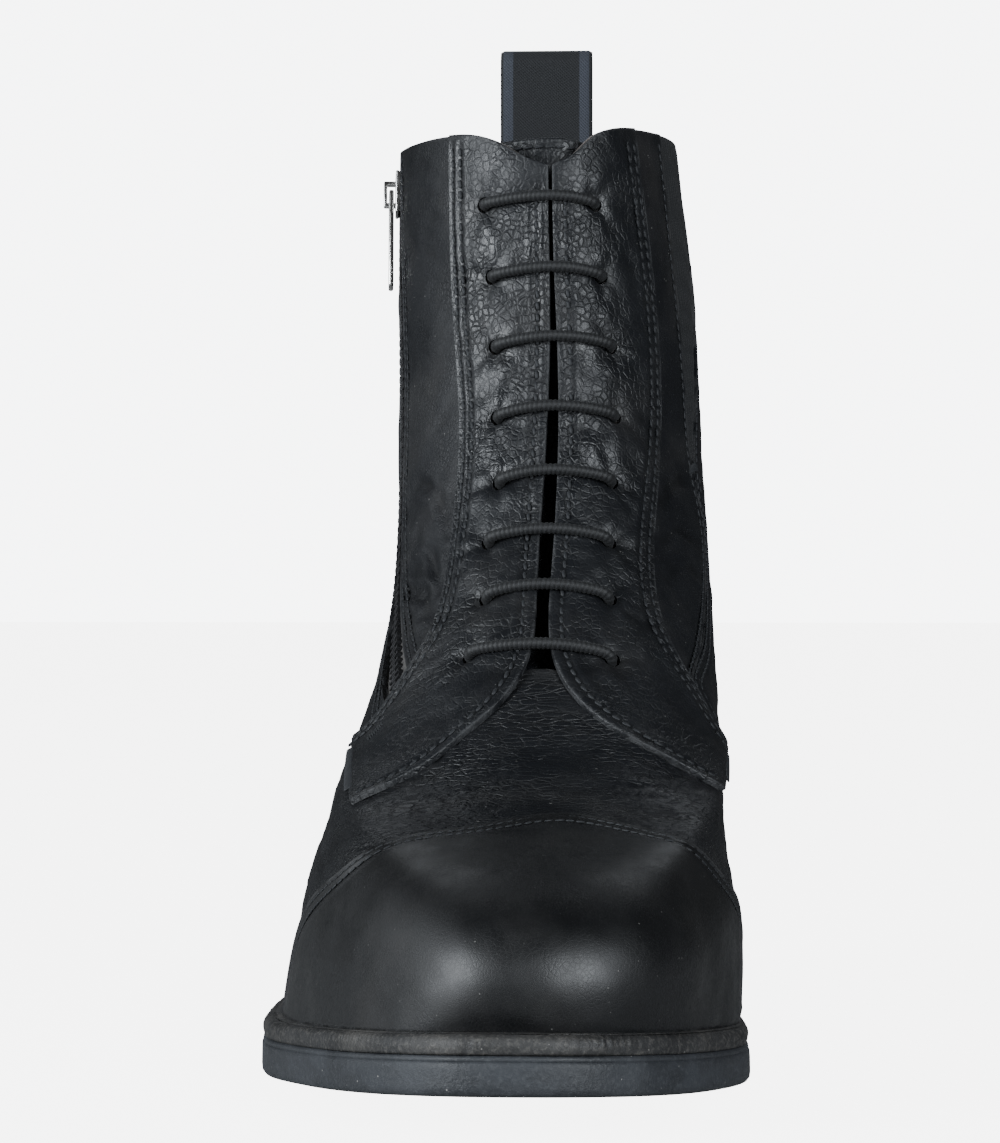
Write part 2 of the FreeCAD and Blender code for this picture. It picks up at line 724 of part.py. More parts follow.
def make_bottom():
    """Outsole, heel, welt, filler, shank, insole board and footbed."""
    outsole = size("outsole_thickness")
    insole, footbed = size("insole_thickness"), size("footbed_thickness")
    feather = [(point.x, point.y) for point in feather_row()]
    sole_layer("outsole", SOLE_OUTLINE, underside, lambda y: underside(y) + outsole)
    rim_hole = inset(feather, 7.0)
    sole_layer("welt", inset(SOLE_OUTLINE, 0.7), lambda y: underside(y) + outsole, feather_height,
               hole=rim_hole)
    filler = sole_layer("sole_filler", inset(feather, 7.15), lambda y: underside(y) + outsole,
                        feather_height)
    shank_depth = size("shank_thickness")
    slot = plane_sketch(filler, "YZ_Plane", "shank_slot")
    side_band(slot, lambda y: feather_height(y) - shank_depth, lambda y: feather_height(y) + 1, 4, 90)
    groove = filler.newObject("PartDesign::Pocket", "shank_groove")
    groove.Profile = slot
    groove.Type = "Length"
    groove.setExpression("Length", "Sizes.shank_width + 0.3")
    groove.SideType = "Symmetric"

    shank = doc.addObject("PartDesign::Body", "shank")
    shank.Label = "shank"
    strip = plane_sketch(shank, "YZ_Plane", "shank_side")
    side_band(strip, lambda y: feather_height(y) - shank_depth + 0.05,
              lambda y: feather_height(y) - 0.1, 4.2, 89.8)
    bar = shank.newObject("PartDesign::Pad", "shank_bar")
    bar.Profile = strip
    bar.setExpression("Length", "Sizes.shank_width")
    bar.SideType = "Symmetric"
    parts.append(shank)

    sole_layer("insole_board", inset(feather, 4.7), feather_height,
               lambda y: feather_height(y) + insole)
    sole_layer("footbed", inset(feather, 5.7), lambda y: feather_height(y) + insole,
               lambda y: feather_height(y) + insole + footbed)

    front, top = size("heel_front"), size("heel_cap_thickness")
    for label, low in (("heel_top_piece", False), ("heel_block", True)):
        body = doc.addObject("PartDesign::Body", label)
        body.Label = label
        plan = plane_sketch(body, "XY_Plane", label + "_outline")
        outline = heel_outline(front)
        add_curve(plan, outline, False)
        breast = Part.Arc(Vector(*outline[-1], 0), Vector(-3, front + 5, 0), Vector(*outline[0], 0))
        plan.addGeometry(breast, False)
        if low:
            plan.AttachmentOffset = Placement(Vector(0, 0, top), Rotation())
            plan.setExpression("AttachmentOffset.Base.z", "Sizes.heel_cap_thickness")
        block = body.newObject("PartDesign::Pad", label + "_lift")
        block.Profile = plan
        block.setExpression("Length", "Sizes.blank_height / 2" if low else "Sizes.heel_cap_thickness")
        if low:
            seat = plane_sketch(body, "YZ_Plane", label + "_seat")
            side_band(seat, underside, lambda y: 60.0, front - 20, 160)
            cut = body.newObject("PartDesign::Pocket", label + "_seat_cut")
            cut.Profile = seat
            cut.Type = "Length"
            cut.setExpression("Length", "Sizes.blank_width")
            cut.SideType = "Symmetric"
        parts.append(body)


# --- shaft ------------------------------------------------------------------------------------------------

GORE_FRONT = [(-2.72, 10.0), (-2.78, 9.3), (-2.82, 8.6), (-2.86, 7.95)]
GORE_BACK = [(-4.2, 10.0), (-3.85, 9.3), (-3.45, 8.6), (-3.04, 7.95)]
ANKLE_SEAM = [(-3.1, 7.35), (-3.12, 6.85), (-2.9, 6.4), (-2.58, 6.05), (-2.25, 5.8)]
COUNTER_TOP = [
    (3.87, 3.35), (4.9, 4.25), (6.3, 4.95), (8.0, 5.2), (9.7, 4.95), (11.1, 4.3), (12.2, 3.35),
]
UNDERLAP = 0.3               # how far the side panels reach under the facings, in stations
SEAM_GAP = 0.03             # hairline between neighbouring panels, in stations


def shifted(points, by):
    """Points moved along the stations."""
    return [(station + by, level) for station, level in points]


def make_zip_side():
    """Leather and lining in front of and behind the zip, and the guard flap inside it."""
    half_slot = size("zip_slot") / 2
    front_edge = edge_from_rim(-half_slot, 0.93)
    rear_edge = edge_from_rim(half_slot, 0.97)
    facing = shifted(ZIP_FACING_EDGE[:7], -UNDERLAP)
    hidden = Track(rim_place(1.6 - UNDERLAP), *facing)
    lining_inner = BASE - GAP_TO_TAPE - size("lining_leather")
    front_rim = rim(1.6 - UNDERLAP, front_edge.at(0).x, 4)
    counter = COUNTER_TOP[:4]
    rear_rim = rim(rear_edge.at(0).x, 8.0, 8)
    rear_front = Track(*[front_end(rear_edge, step / 9) for step in range(10)], (3.62, 4.05),
                       (3.9, 3.42))
    back_line = line(rim_place(8.0), (8.0, 5.25))
    lower = Track((3.9, 3.42), *[(s, l + 0.05) for s, l in counter[1:]])
    for label, inner, outer in (("zip_side_{}_panel", BASE, 0.0),
                                ("zip_side_{}_lining", lining_inner, BASE - GAP_TO_TAPE)):
        fore = (Track(*front_rim), front_edge, line(front_end(hidden, 1), front_end(front_edge, 1)),
                hidden)
        aft = (Track(*rear_rim), back_line, lower, rear_front)
        panel(label.format("front"), fore, inner, outer, (8, 20))
        panel(label.format("rear"), aft, inner, outer, (14, 18))
    guard_near = edge_from_rim(-size("tape_width"), 0.9)
    guard_far = edge_from_rim(size("tape_width"), 0.9)
    guard = (line(front_end(guard_near, 0), front_end(guard_far, 0)), guard_far,
             line(front_end(guard_near, 1), front_end(guard_far, 1)), guard_near)
    panel("zip_guard", guard, lining_inner - SEAT - 1.2, lining_inner - SEAT, (6, 20))


def make_gore_side():
    """Front panel, elastic gore, rear panel and lining of the other side."""
    facing = shifted(GORE_FACING_EDGE[:7], UNDERLAP)
    hidden = Track(rim_place(UNDERLAP - 1.75), *facing)
    front = Track(rim_place(-2.66), *GORE_FRONT, *ANKLE_SEAM)
    front_rim = Track(*rim(UNDERLAP - 1.75, -2.66, 4))
    panel("gore_side_front_panel",
          (front_rim, front, line(facing[-1], ANKLE_SEAM[-1]), hidden), BASE, 0.0, (10, 24))
    gore = (Track(*rim(-2.66 - SEAM_GAP, -4.6, 6)), Track(rim_place(-4.6), *GORE_BACK),
            line(shifted(GORE_FRONT, -SEAM_GAP)[-1], GORE_BACK[-1]),
            Track(rim_place(-2.66 - SEAM_GAP), *shifted(GORE_FRONT, -SEAM_GAP)))
    panel("elastic_gore", gore, BASE, -0.3, (8, 14))
    rear_front = Track(rim_place(-4.6 - SEAM_GAP), *shifted(GORE_BACK, -SEAM_GAP),
                       *shifted(ANKLE_SEAM, -0.02), (-2.9, 5.0), (-3.5, 4.1), (-3.85, 3.42))
    counter = [(station - STATIONS, level + 0.05) for station, level in COUNTER_TOP[3:-1]]
    lower = Track((-3.85, 3.42), *reversed(counter))
    rear = (Track(*rim(-4.6 - SEAM_GAP, -8.0, 8)), line(rim_place(-8.0), (-8.0, 5.25)), lower, rear_front)
    panel("gore_side_rear_panel", rear, BASE, 0.0, (14, 26))
    inner = Track(rim_place(-1.45), (-1.5, 9.5), (-1.5, 8.5), (-1.45, 7.5), (-1.55, 6.6), (-2.2, 5.6),
                  (-3.0, 4.7), (-3.85, 3.42))
    lining = (Track(*rim(-1.45, -8.0, 10)), line(rim_place(-8.0), (-8.0, 5.25)), lower, inner)
    panel("gore_side_lining", lining, LINED, BASE - 2 * SEAT, (24, 24))


def make_heel_wrap():
    """Heel counter leather, its stiffener and lining, and the strap over the back seam."""
    foot_zip, foot_gore = (3.97, FOOT), (12.12, FOOT)
    sides = (line(foot_zip, foot_gore), Track(foot_gore, (12.16, 1.6), (12.2, 3.35)),
             Track(*COUNTER_TOP), Track(foot_zip, (3.94, 1.6), (3.87, 3.35)))
    depth = 1.2
    panel("heel_counter", sides, BASE, 0.0, (26, 10))
    panel("heel_stiffener", sides, BASE - depth, BASE, (26, 10))
    panel("heel_lining", sides, LINED - depth, BASE - depth, (26, 10))
    strap = (line((7.62, 4.6), (8.38, 4.6)), Track((8.38, 4.6), (8.36, 7.5), rim_place(8.36)),
             line(rim_place(7.64), rim_place(8.36)), Track((7.62, 4.6), (7.64, 7.5), rim_place(7.64)))
    panel("back_strap", strap, SEAT, 1.0, (6, 14))


def make_tongue():
    """Padded tongue that rises from under the vamp behind the lace."""
    depth, thick = size("tongue_depth") + 0.3, size("tongue_thickness")

    def outside(share):
        """Lift of the outer face: close under the vamp lining, then clear of the lace."""
        ease = min(1.0, share / 0.1)
        return LINED - 0.1 - (depth + LINED - 0.1) * ease * ease * (3 - 2 * ease)

    top = [(station, level_at_height(station, 217.6 - 0.9 * station ** 2))
           for station in (1.75, 0.9, 0.0, -0.9, -1.75)]
    sides = (Track((1.35, 5.45), (0.0, 5.6), (-1.35, 5.45)),
             Track((-1.35, 5.45), (-1.42, 7.5), (-1.6, 9.2), top[-1]), Track(*top),
             Track((1.35, 5.45), (1.42, 7.5), (1.6, 9.2), top[0]))
    panel("tongue", sides, lambda share: outside(share) - thick, outside, (12, 30))


# --- lace and pull loop ------------------------------------------------------------------------------------

LACE_FRONT = 3.1             # lift of the lace in front of the facings
LACE_BEHIND = -3.1           # and behind them
LACE_TAIL = 0.33             # levels that each end runs on behind its facing


def lace_route():
    """Points of the one elastic lace: across each row in front, up to the next one behind."""
    route = []
    rows = LACE_ROWS[::-1]
    first = rows[0]
    route.append(form.point(first[1], first[0] + LACE_TAIL, LACE_BEHIND))
    for index, (level, zip_station, gore_station) in enumerate(rows):
        bow = 0.15 - 0.012 * index
        stations = [zip_station, zip_station * 0.5, 0.0, gore_station * 0.5, gore_station]
        lifts = [level, level + bow * 0.75, level + bow, level + bow * 0.75, level]
        bar = [(s, l, LACE_FRONT) for s, l in zip(stations, lifts)]
        passage = [(zip_station, level, LACE_BEHIND)] + bar + [(gore_station, level, LACE_BEHIND)]
        if index % 2:
            passage.reverse()
        route += [form.point(*place) for place in passage]
    last = rows[-1]
    route.append(form.point(last[1], last[0] - LACE_TAIL, LACE_BEHIND))
    return route


def rounded_wire(route):
    """Straight runs joined by tangent arcs, each as large as its two runs allow."""
    edges = []
    radii = []
    start = route[0]
    for before, corner, after in zip(route, route[1:], route[2:]):
        back = (before - corner)
        ahead = (after - corner)
        turn = math.pi - back.getAngle(ahead)
        trim = 0.45 * min(back.Length, ahead.Length)
        radii.append(trim / math.tan(turn / 2))
        enter = corner + back.normalize() * trim
        leave = corner + ahead.normalize() * trim
        inner = (enter + leave) * 0.5 - corner
        reach = radii[-1] / math.cos(turn / 2) - radii[-1]
        middle = corner + inner.normalize() * reach
        edges.append(Part.makeLine(start, enter))
        edges.append(Part.Arc(enter, middle, leave).toShape())
        start = leave
    edges.append(Part.makeLine(start, route[-1]))
    return Part.Wire(edges), min(radii)


def make_lace():
    """Elastic lace as one tube along its route."""
    route = lace_route()
    wire, tightest = rounded_wire(route)
    radius = size("cord_diameter") / 2
    ring = Part.Wire(Part.makeCircle(radius, route[0], route[1] - route[0]))
    tube = wire.makePipeShell([ring], True, False)
    expected = math.pi * radius ** 2 * wire.Length
    print(f"lace: length {wire.Length:.0f}, tightest bend {tightest:.2f}, "
          f"volume {tube.Volume / expected:.3f} of section times length")
    keep("elastic_lace", tube)


def make_loop():
    """Webbing pull loop over the back of the rim: two sewn ends and the free loop between them."""
    thick = size("webbing_thickness")
    half = 0.82
    height = rim_height(8.0)
    low = level_at_height(8.0, height - 16)
    top = level_at_height(8.0, height - 0.3)
    sides = (line((8 - half, low), (8 + half, low)), line((8 + half, low), (8 + half, top)),
             line((8 - half, top), (8 + half, top)), line((8 - half, low), (8 - half, top)))
    inside = BASE - GAP_TO_TAPE - size("lining_leather") - 0.05
    panel("pull_loop_inner_end", sides, inside - thick, inside, (6, 4))
    panel("pull_loop_outer_end", sides, 1.05, 1.05 + thick, (6, 4))

    body = doc.addObject("PartDesign::Body", "pull_loop")
    body.Label = "pull_loop"
    sketch = plane_sketch(body, "YZ_Plane", "loop_side")
    middle = form.point(8.0, top).y - 1.2
    base = height + 3.0
    crown = height + size("loop_height")
    outer = 4.5
    inner = outer - thick
    centre = crown - outer
    for reach in (outer, inner):
        arc = Part.Arc(Vector(middle - reach, centre, 0), Vector(middle, centre + reach, 0),
                       Vector(middle + reach, centre, 0))
        sketch.addGeometry(arc, False)
    for side in (-1, 1):
        near, far = middle + side * inner, middle + side * outer
        sketch.addGeometry(Part.LineSegment(Vector(near, base, 0), Vector(near, centre, 0)), False)
        sketch.addGeometry(Part.LineSegment(Vector(far, base, 0), Vector(far, centre, 0)), False)
        sketch.addGeometry(Part.LineSegment(Vector(near, base, 0), Vector(far, base, 0)), False)
    pad = body.newObject("PartDesign::Pad", "loop_webbing")
    pad.Profile = sketch
    pad.setExpression("Length", "Sizes.webbing_width")
    pad.SideType = "Symmetric"
    body.Placement = Placement(Vector(form.point(8.0, top).x, 0, 0), Rotation())
    parts.append(body)
    return Vector(form.point(8.0, top).x, middle, height + 0.5), (base, crown)


# --- assembly ----------------------------------------------------------------------------------------------

make_bottom()
make_facings()
make_front()
make_zip_side()
make_gore_side()
make_heel_wrap()
make_tongue()
make_zip()
slider_place, pull_depth = make_slider()
make_lace()
loop_hinge, loop_heights = make_loop()
doc.recompute()

whole = FreeCAD.BoundBox()
for item in parts:
    whole.add(item.Shape.BoundBox)
shift = Vector(-whole.Center.x, -whole.Center.y, -whole.ZMin)
for item in parts:
    item.Placement = Placement(shift, Rotation()).multiply(item.Placement)
doc.recompute()

for item in doc.Objects:
    if {"Invalid", "Error"} & set(item.State):
        raise RuntimeError(f"{item.Label}: {item.State}")
for item in parts:
    if item.Shape.isNull() or not item.Shape.isValid():
        raise RuntimeError(f"{item.Label} has no valid shape")

os.makedirs("parts", exist_ok=True)
for item in parts:
    item.Shape.exportStep(f"parts/{item.Label}.step")

pull_axis = slider_place.multVec(Vector(pull_depth, 0, 0)) + shift
print("parts", len(parts), "box", whole.XLength, whole.YLength, whole.ZLength, "shift", shift)
print("slide down", (form.point(*zip_place(0.5, 0)) - form.point(*zip_place(0.02, 0))).normalize())
print("pull axis at", pull_axis, "along", slider_place.Rotation.multVec(Vector(0, 1, 0)))
print("loop hinge at", loop_hinge + shift, "loop from and to", [z + shift.z for z in loop_heights])
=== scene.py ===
"""Looks for the lace-up ankle boot: leather upper, seams, lace, zip, pull loop, tongue and sole.

Lengths are millimetres until a mesh is made, and metres from there on.  The upper's pieces follow one
form, as in the part: stations run 0..16 round the boot from the toe by the zip side (-X), levels run
0 at the welt to 11 at the rim.
"""
import logging
import math
from dataclasses import dataclass, field
from enum import Enum
from typing import Callable, Iterable, Optional, Sequence

import bpy
import numpy as np
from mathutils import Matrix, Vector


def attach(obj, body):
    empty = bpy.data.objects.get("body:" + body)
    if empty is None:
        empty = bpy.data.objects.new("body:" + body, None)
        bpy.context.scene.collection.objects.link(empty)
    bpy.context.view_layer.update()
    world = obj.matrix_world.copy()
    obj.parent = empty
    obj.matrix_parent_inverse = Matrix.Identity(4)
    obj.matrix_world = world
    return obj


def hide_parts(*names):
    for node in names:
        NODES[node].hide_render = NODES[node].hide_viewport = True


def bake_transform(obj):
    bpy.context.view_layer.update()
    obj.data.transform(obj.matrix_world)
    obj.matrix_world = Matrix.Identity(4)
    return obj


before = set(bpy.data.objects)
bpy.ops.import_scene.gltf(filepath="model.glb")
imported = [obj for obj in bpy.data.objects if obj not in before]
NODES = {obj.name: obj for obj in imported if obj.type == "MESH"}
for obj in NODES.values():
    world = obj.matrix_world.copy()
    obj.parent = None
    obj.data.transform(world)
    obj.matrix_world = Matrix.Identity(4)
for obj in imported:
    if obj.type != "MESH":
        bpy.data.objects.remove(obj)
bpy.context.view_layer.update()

logging.basicConfig(level=logging.INFO, format="%(message)s")
LOG = logging.getLogger("boot")

MM = 0.001
FORM_SHIFT = np.array((4.7142, -0.3297, 0.0093))    # from the form's own origin to the part's

Array = np.ndarray
Place = tuple[float, float]


# --- the form ----------------------------------------------------------------------------------------

FEATHER = np.array([
    (-141.5, -4, 4), (-131, 21, 27), (-97, 39.5, 41), (-60, 50.5, 46.5), (-15, 53.5, 41.5),
    (32, 43.5, 31), (85, 35, 31.5), (122, 26.5, 25), (140.5, 0, 0),
])
LEVELS = [
    (-144, 31, 146, 50, 50, 46.8, 4, 0, 0.02),
    (-137.5, 41.5, 149, 63, 47, 45.3, 4.5, 0, 0.06),
    (-119, 49, 147, 77, 45, 44.7, 5, 0, 0.14),
    (-91, 53.5, 143, 92, 43, 44.7, 5, 0, 0.25),
    (-61, 62, 139, 108, 40, 44.5, 4, 0, 0.40),
    (-32, 82, 137, 124, 37, 43.5, 3, 0, 0.58),
    (-8, 106, 136.5, 141, 36.3, 42, 3, -1, 0.75),
    (9, 132, 138, 160, 36.8, 40.2, 4, -2, 0.88),
    (18, 162, 139.5, 183, 37.4, 38.5, 4.5, -2.3, 0.96),
    (22, 194, 141, 204, 37.7, 36, 3.5, -2.3, 1.0),
    (24, 225, 142, 225, 37.6, 33.2, 3, -2.3, 1.0),
]
STATIONS = 16
HALF = STATIONS // 2
UNDERSIDE = [
    (-150, 9), (-113, 5), (-77, 1.9), (-40, 0), (0, 2), (30, 8.5), (60, 18), (100, 22), (150, 23.5),
]
SOLE_OUTLINE = [
    (3, -149.5), (-23, -138), (-44, -100), (-56.5, -62), (-58.5, -17), (-48, 32), (-39.5, 85),
    (-31, 126), (0, 147), (30, 126), (36.5, 85), (35.5, 32), (45, -15), (50, -61), (45, -99),
    (28.5, -136),
]
OUTSOLE, WELT = 8.2, 4.2
CAP_LEATHER, LEATHER, LINING = 1.3, 1.4, 1.6

DECAY = math.sqrt(3.0) - 2.0
REACH = 8


def reflected(values: Array, index: int) -> Array:
    """Row at any index, continued past both ends by reflection through the end rows."""
    last = len(values) - 1
    if index < 0:
        return values[0] * 2 - reflected(values, -index)
    if index > last:
        return values[last] * 2 - reflected(values, 2 * last - index)
    return values[index]


def smooth_poles(count: int, value_at: Callable[[int], Array]) -> Array:
    """Poles of the uniform cubic spline that passes through value_at(i).

    Args:
        count: how many poles.
        value_at: value to pass through at each index.

    Returns:
        The poles, one row each.
    """
    poles = []
    for index in range(count):
        total = np.array(value_at(index), float)
        for step in range(1, REACH + 1):
            total = total + (value_at(index - step) + value_at(index + step)) * DECAY ** step
        poles.append(total * math.sqrt(3.0))
    return np.array(poles)


def spline_weights(f: Array) -> Array:
    """Weights of four neighbouring poles at fraction f of a span."""
    g = 1.0 - f
    return np.array((g ** 3 / 6, (3 * f ** 3 - 6 * f ** 2 + 4) / 6,
                     (3 * g ** 3 - 6 * g ** 2 + 4) / 6, f ** 3 / 6))


def spline_slopes(f: Array) -> Array:
    """Derivatives of spline_weights."""
    g = 1.0 - f
    return np.array((-g * g / 2, (3 * f * f - 4 * f) / 2, (1 + 2 * f - 3 * f * f) / 2, f * f / 2))


class Track:
    """Smooth curve through given points, run over 0..1."""

    def __init__(self, *points: Sequence[float]) -> None:
        self.points = np.array(points, float)
        self.poles = smooth_poles(len(points) + 2, lambda i: reflected(self.points, i - 1))

    def at(self, fraction: Array | float) -> Array:
        """Points at fractions of the curve."""
        spans = len(self.points) - 1
        place = np.clip(np.asarray(fraction, float), 0.0, 1.0) * spans
        span = np.minimum(place.astype(int), spans - 1)
        weights = spline_weights(place - span)
        return sum(weights[i][..., None] * self.poles[span + i] for i in range(4))


UNDERSIDE_LINE = Track(*UNDERSIDE).at(np.linspace(0, 1, 400))


def underside(y: Array | float) -> Array:
    """Height of the outsole's underside at y."""
    return np.interp(y, UNDERSIDE_LINE[:, 0], UNDERSIDE_LINE[:, 1])


def feather_height(y: Array | float) -> Array:
    """Height of the feather line, on top of the welt, at y."""
    return underside(y) + OUTSOLE + WELT


def feather_row() -> Array:
    """The 16 points of the feather line."""
    ring = [(-zip_half, y) for y, zip_half, _ in FEATHER]
    ring += [(gore_half, y) for y, _, gore_half in FEATHER[-2:0:-1]]
    return np.array([(x, y, float(feather_height(y))) for x, y in ring])


def level_row(front_y: float, front_z: float, back_y: float, back_z: float, zip_half: float,
              gore_half: float, front_x: float, back_x: float, turned: float) -> Array:
    """The 16 points of one level: the foot's outline turned part of the way to an ellipse."""
    ring = []
    first, last = FEATHER[0][0], FEATHER[-1][0]
    for station in range(STATIONS):
        on_zip_side = station <= HALF
        step = station if on_zip_side else STATIONS - station
        column = 1 if on_zip_side else 2
        foot_share = FEATHER[step][column] / FEATHER[:, column].max() if 0 < step < HALF else 0.0
        angle = math.pi * step / HALF
        along = (1 - turned) * (FEATHER[step][0] - first) / (last - first)
        along += turned * (1 - math.cos(angle)) / 2
        aside = (1 - turned) * foot_share + turned * math.sin(angle)
        centre = front_x + (back_x - front_x) * along
        half = -zip_half if on_zip_side else gore_half
        ring.append((half * aside + centre * (1 - aside), front_y + (back_y - front_y) * along,
                     front_z + (back_z - front_z) * along))
    return np.array(ring)


class Form:
    """The boot's outer surface as one smooth function of station and level."""

    def __init__(self) -> None:
        rows = np.array([feather_row()] + [level_row(*level) for level in LEVELS])
        up = smooth_poles(len(rows) + 2, lambda i: reflected(rows, i - 1))
        self.poles = smooth_poles(STATIONS, lambda i: up[:, i % STATIONS]).transpose(1, 0, 2)
        self.top = len(LEVELS)

    def blend(self, place: Array, across: Callable[[Array], Array],
              up: Callable[[Array], Array]) -> Array:
        """Weighted sum of the 16 poles round each place."""
        station, level = place[..., 0], place[..., 1]
        column = np.floor(station).astype(int)
        row = np.clip(np.floor(level).astype(int), 0, self.top - 1)
        wide, high = across(station - column), up(level - row)
        total = np.zeros(station.shape + (3,))
        for j in range(4):
            for i in range(4):
                pole = self.poles[row + j, (column + i - 1) % STATIONS]
                total += pole * (wide[i] * high[j])[..., None]
        return total

    def slopes(self, place: Array) -> tuple[Array, Array]:
        """Change of the point per station and per level."""
        return (self.blend(place, spline_slopes, spline_weights),
                self.blend(place, spline_weights, spline_slopes))

    def normal(self, place: Array) -> Array:
        """Outward direction, kept horizontal close to the feather line."""
        around, upwards = self.slopes(place)
        outward = np.cross(upwards, around)
        outward[..., 2] *= np.clip(place[..., 1] / 0.6, 0.0, 1.0)
        return outward / np.linalg.norm(outward, axis=-1, keepdims=True)

    def point(self, place: Iterable, lift: Array | float = 0.0) -> Array:
        """Points of the form, raised by lift, in the part's own frame."""
        place = np.asarray(place, float)
        lift = np.asarray(lift, float)[..., None]
        here = self.blend(place, spline_weights, spline_weights)
        return here + self.normal(place) * lift + FORM_SHIFT

    def beside(self, places: Array, distance: float) -> Array:
        """Places a distance to the left of a run of places, seen from outside the boot."""
        places = np.array(places, float)
        moved = places.copy()
        line = self.point(places)
        ahead = np.gradient(line, axis=0)
        ahead /= np.linalg.norm(ahead, axis=1, keepdims=True)
        aim = np.cross(self.normal(places), ahead) * distance
        for _ in range(3):
            around, upwards = self.slopes(moved)
            rest = line + aim - self.point(moved)
            for index, miss in enumerate(rest):
                matrix = np.stack((around[index], upwards[index]), axis=1)
                moved[index] += np.linalg.lstsq(matrix, miss, rcond=None)[0]
            moved[:, 1] = np.clip(moved[:, 1], 0.0, self.top)
        return moved


FORM = Form()


def level_at_height(station: float, height: float) -> float:
    """Level where the form reaches a height above the form's origin."""
    levels = np.linspace(0.0, FORM.top, 600)
    place = np.stack((np.full_like(levels, station), levels), axis=-1)
    heights = FORM.point(place)[:, 2] - FORM_SHIFT[2]
    return float(np.interp(height, heights, levels))


def rim_level(station: float) -> float:
    """Level of the rim: a shallow dip at the front, highest on the gore side."""
    angle = 2 * math.pi * station / STATIONS
    dip = 9.5 * math.exp(-(station / 0.75) ** 2)
    return level_at_height(station, 218.8 + 1.3 * math.sin(-angle) + 0.6 * (1 - math.cos(angle)) - dip)


def rim_place(station: float) -> Place:
    """Place on the rim line."""
    return (station, rim_level(station))


def rim(first: float, last: float, steps: int = 8) -> Track:
    """The rim line between two stations."""
    return Track(*[rim_place(s) for s in np.linspace(first, last, steps + 1)])


def shifted(points: Sequence[Place], by: float) -> list[Place]:
    """Points moved along the stations."""
    return [(station + by, level) for station, level in points]


def shrunk(points: Sequence[Place], share: float) -> list[Place]:
    """Seam points drawn in towards the toe."""
    return [(station * share, level * share) for station, level in points]


ZIP_FACING_EDGE = [
    (1.58, 9.75), (1.50, 9.0), (1.42, 8.3), (1.48, 7.6), (1.58, 6.95), (1.85, 6.35), (2.35, 5.75),
    (2.95, 5.0), (3.45, 4.4),
]
GORE_FACING_EDGE = [
    (-1.93, 9.75), (-1.97, 9.0), (-1.90, 8.3), (-1.70, 7.6), (-1.58, 6.95), (-1.75, 6.35),
    (-2.2, 5.75), (-2.75, 5.05), (-3.3, 4.45),
]
ZIP_FACING_INNER = [
    (0.05, 9.6), (0.09, 8.8), (0.11, 8.0), (0.11, 7.2), (0.14, 6.45), (0.55, 5.92), (1.2, 5.42),
    (1.95, 4.55), (2.62, 3.45),
]
GORE_FACING_INNER = [
    (-0.02, 9.6), (-0.05, 8.8), (-0.08, 8.0), (-0.08, 7.2), (-0.12, 6.45), (-0.52, 5.88),
    (-1.15, 5.42), (-1.95, 4.75), (-2.85, 3.65),
]
LACE_ROWS = [
    (10.18, 1.00, -0.80), (9.62, 0.90, -0.86), (9.08, 0.86, -0.98), (8.52, 0.82, -1.00),
    (7.97, 0.76, -0.93), (7.42, 0.88, -0.88), (6.88, 0.86, -0.86), (6.30, 1.08, -0.86),
]
CAP_SEAM_ZIP = [(3.38, 0.0), (3.12, 0.6), (2.75, 1.25), (2.3, 2.0)]
CAP_SEAM_TOP = [
    (2.3, 2.0), (1.85, 2.8), (1.1, 3.9), (0.05, 4.6), (-0.75, 4.35), (-1.5, 3.4), (-2.25, 2.2),
]
CAP_SEAM_GORE = [(-3.12, 0.0), (-3.0, 0.7), (-2.72, 1.4), (-2.25, 2.2)]
CAP_SEAM = CAP_SEAM_ZIP + CAP_SEAM_TOP[1:-1] + CAP_SEAM_GORE[::-1]
VAMP_BACK = [
    (3.92, 0.008), (3.89, 1.6), (3.82, 3.1), (3.3, 4.3), (2.2, 5.2), (1.1, 5.9), (0.0, 6.3),
    (-1.1, 5.9), (-2.2, 5.2), (-3.2, 4.3), (-3.75, 3.2), (-3.81, 1.6), (-3.84, 0.008),
]
GORE_FRONT = [(-2.72, 10.0), (-2.78, 9.3), (-2.82, 8.6), (-2.86, 7.95)]
GORE_BACK = [(-4.2, 10.0), (-3.85, 9.3), (-3.45, 8.6), (-3.04, 7.95)]
ANKLE_SEAM = [(-3.1, 7.35), (-3.12, 6.85), (-2.9, 6.4), (-2.58, 6.05), (-2.25, 5.8)]
COUNTER_TOP = [
    (3.87, 3.35), (4.9, 4.25), (6.3, 4.95), (8.0, 5.2), (9.7, 4.95), (11.1, 4.3), (12.2, 3.35),
]
ZIP_TOP, ZIP_TURN = (76.0, 217.0), (52.0, 131.0)
ZIP_BEND = [(41.0, 114.0), (25.0, 98.5), (5.0, 86.0), (-9.0, 79.0)]
ZIP_SLOT = 9.0
UNDERLAP = 0.3


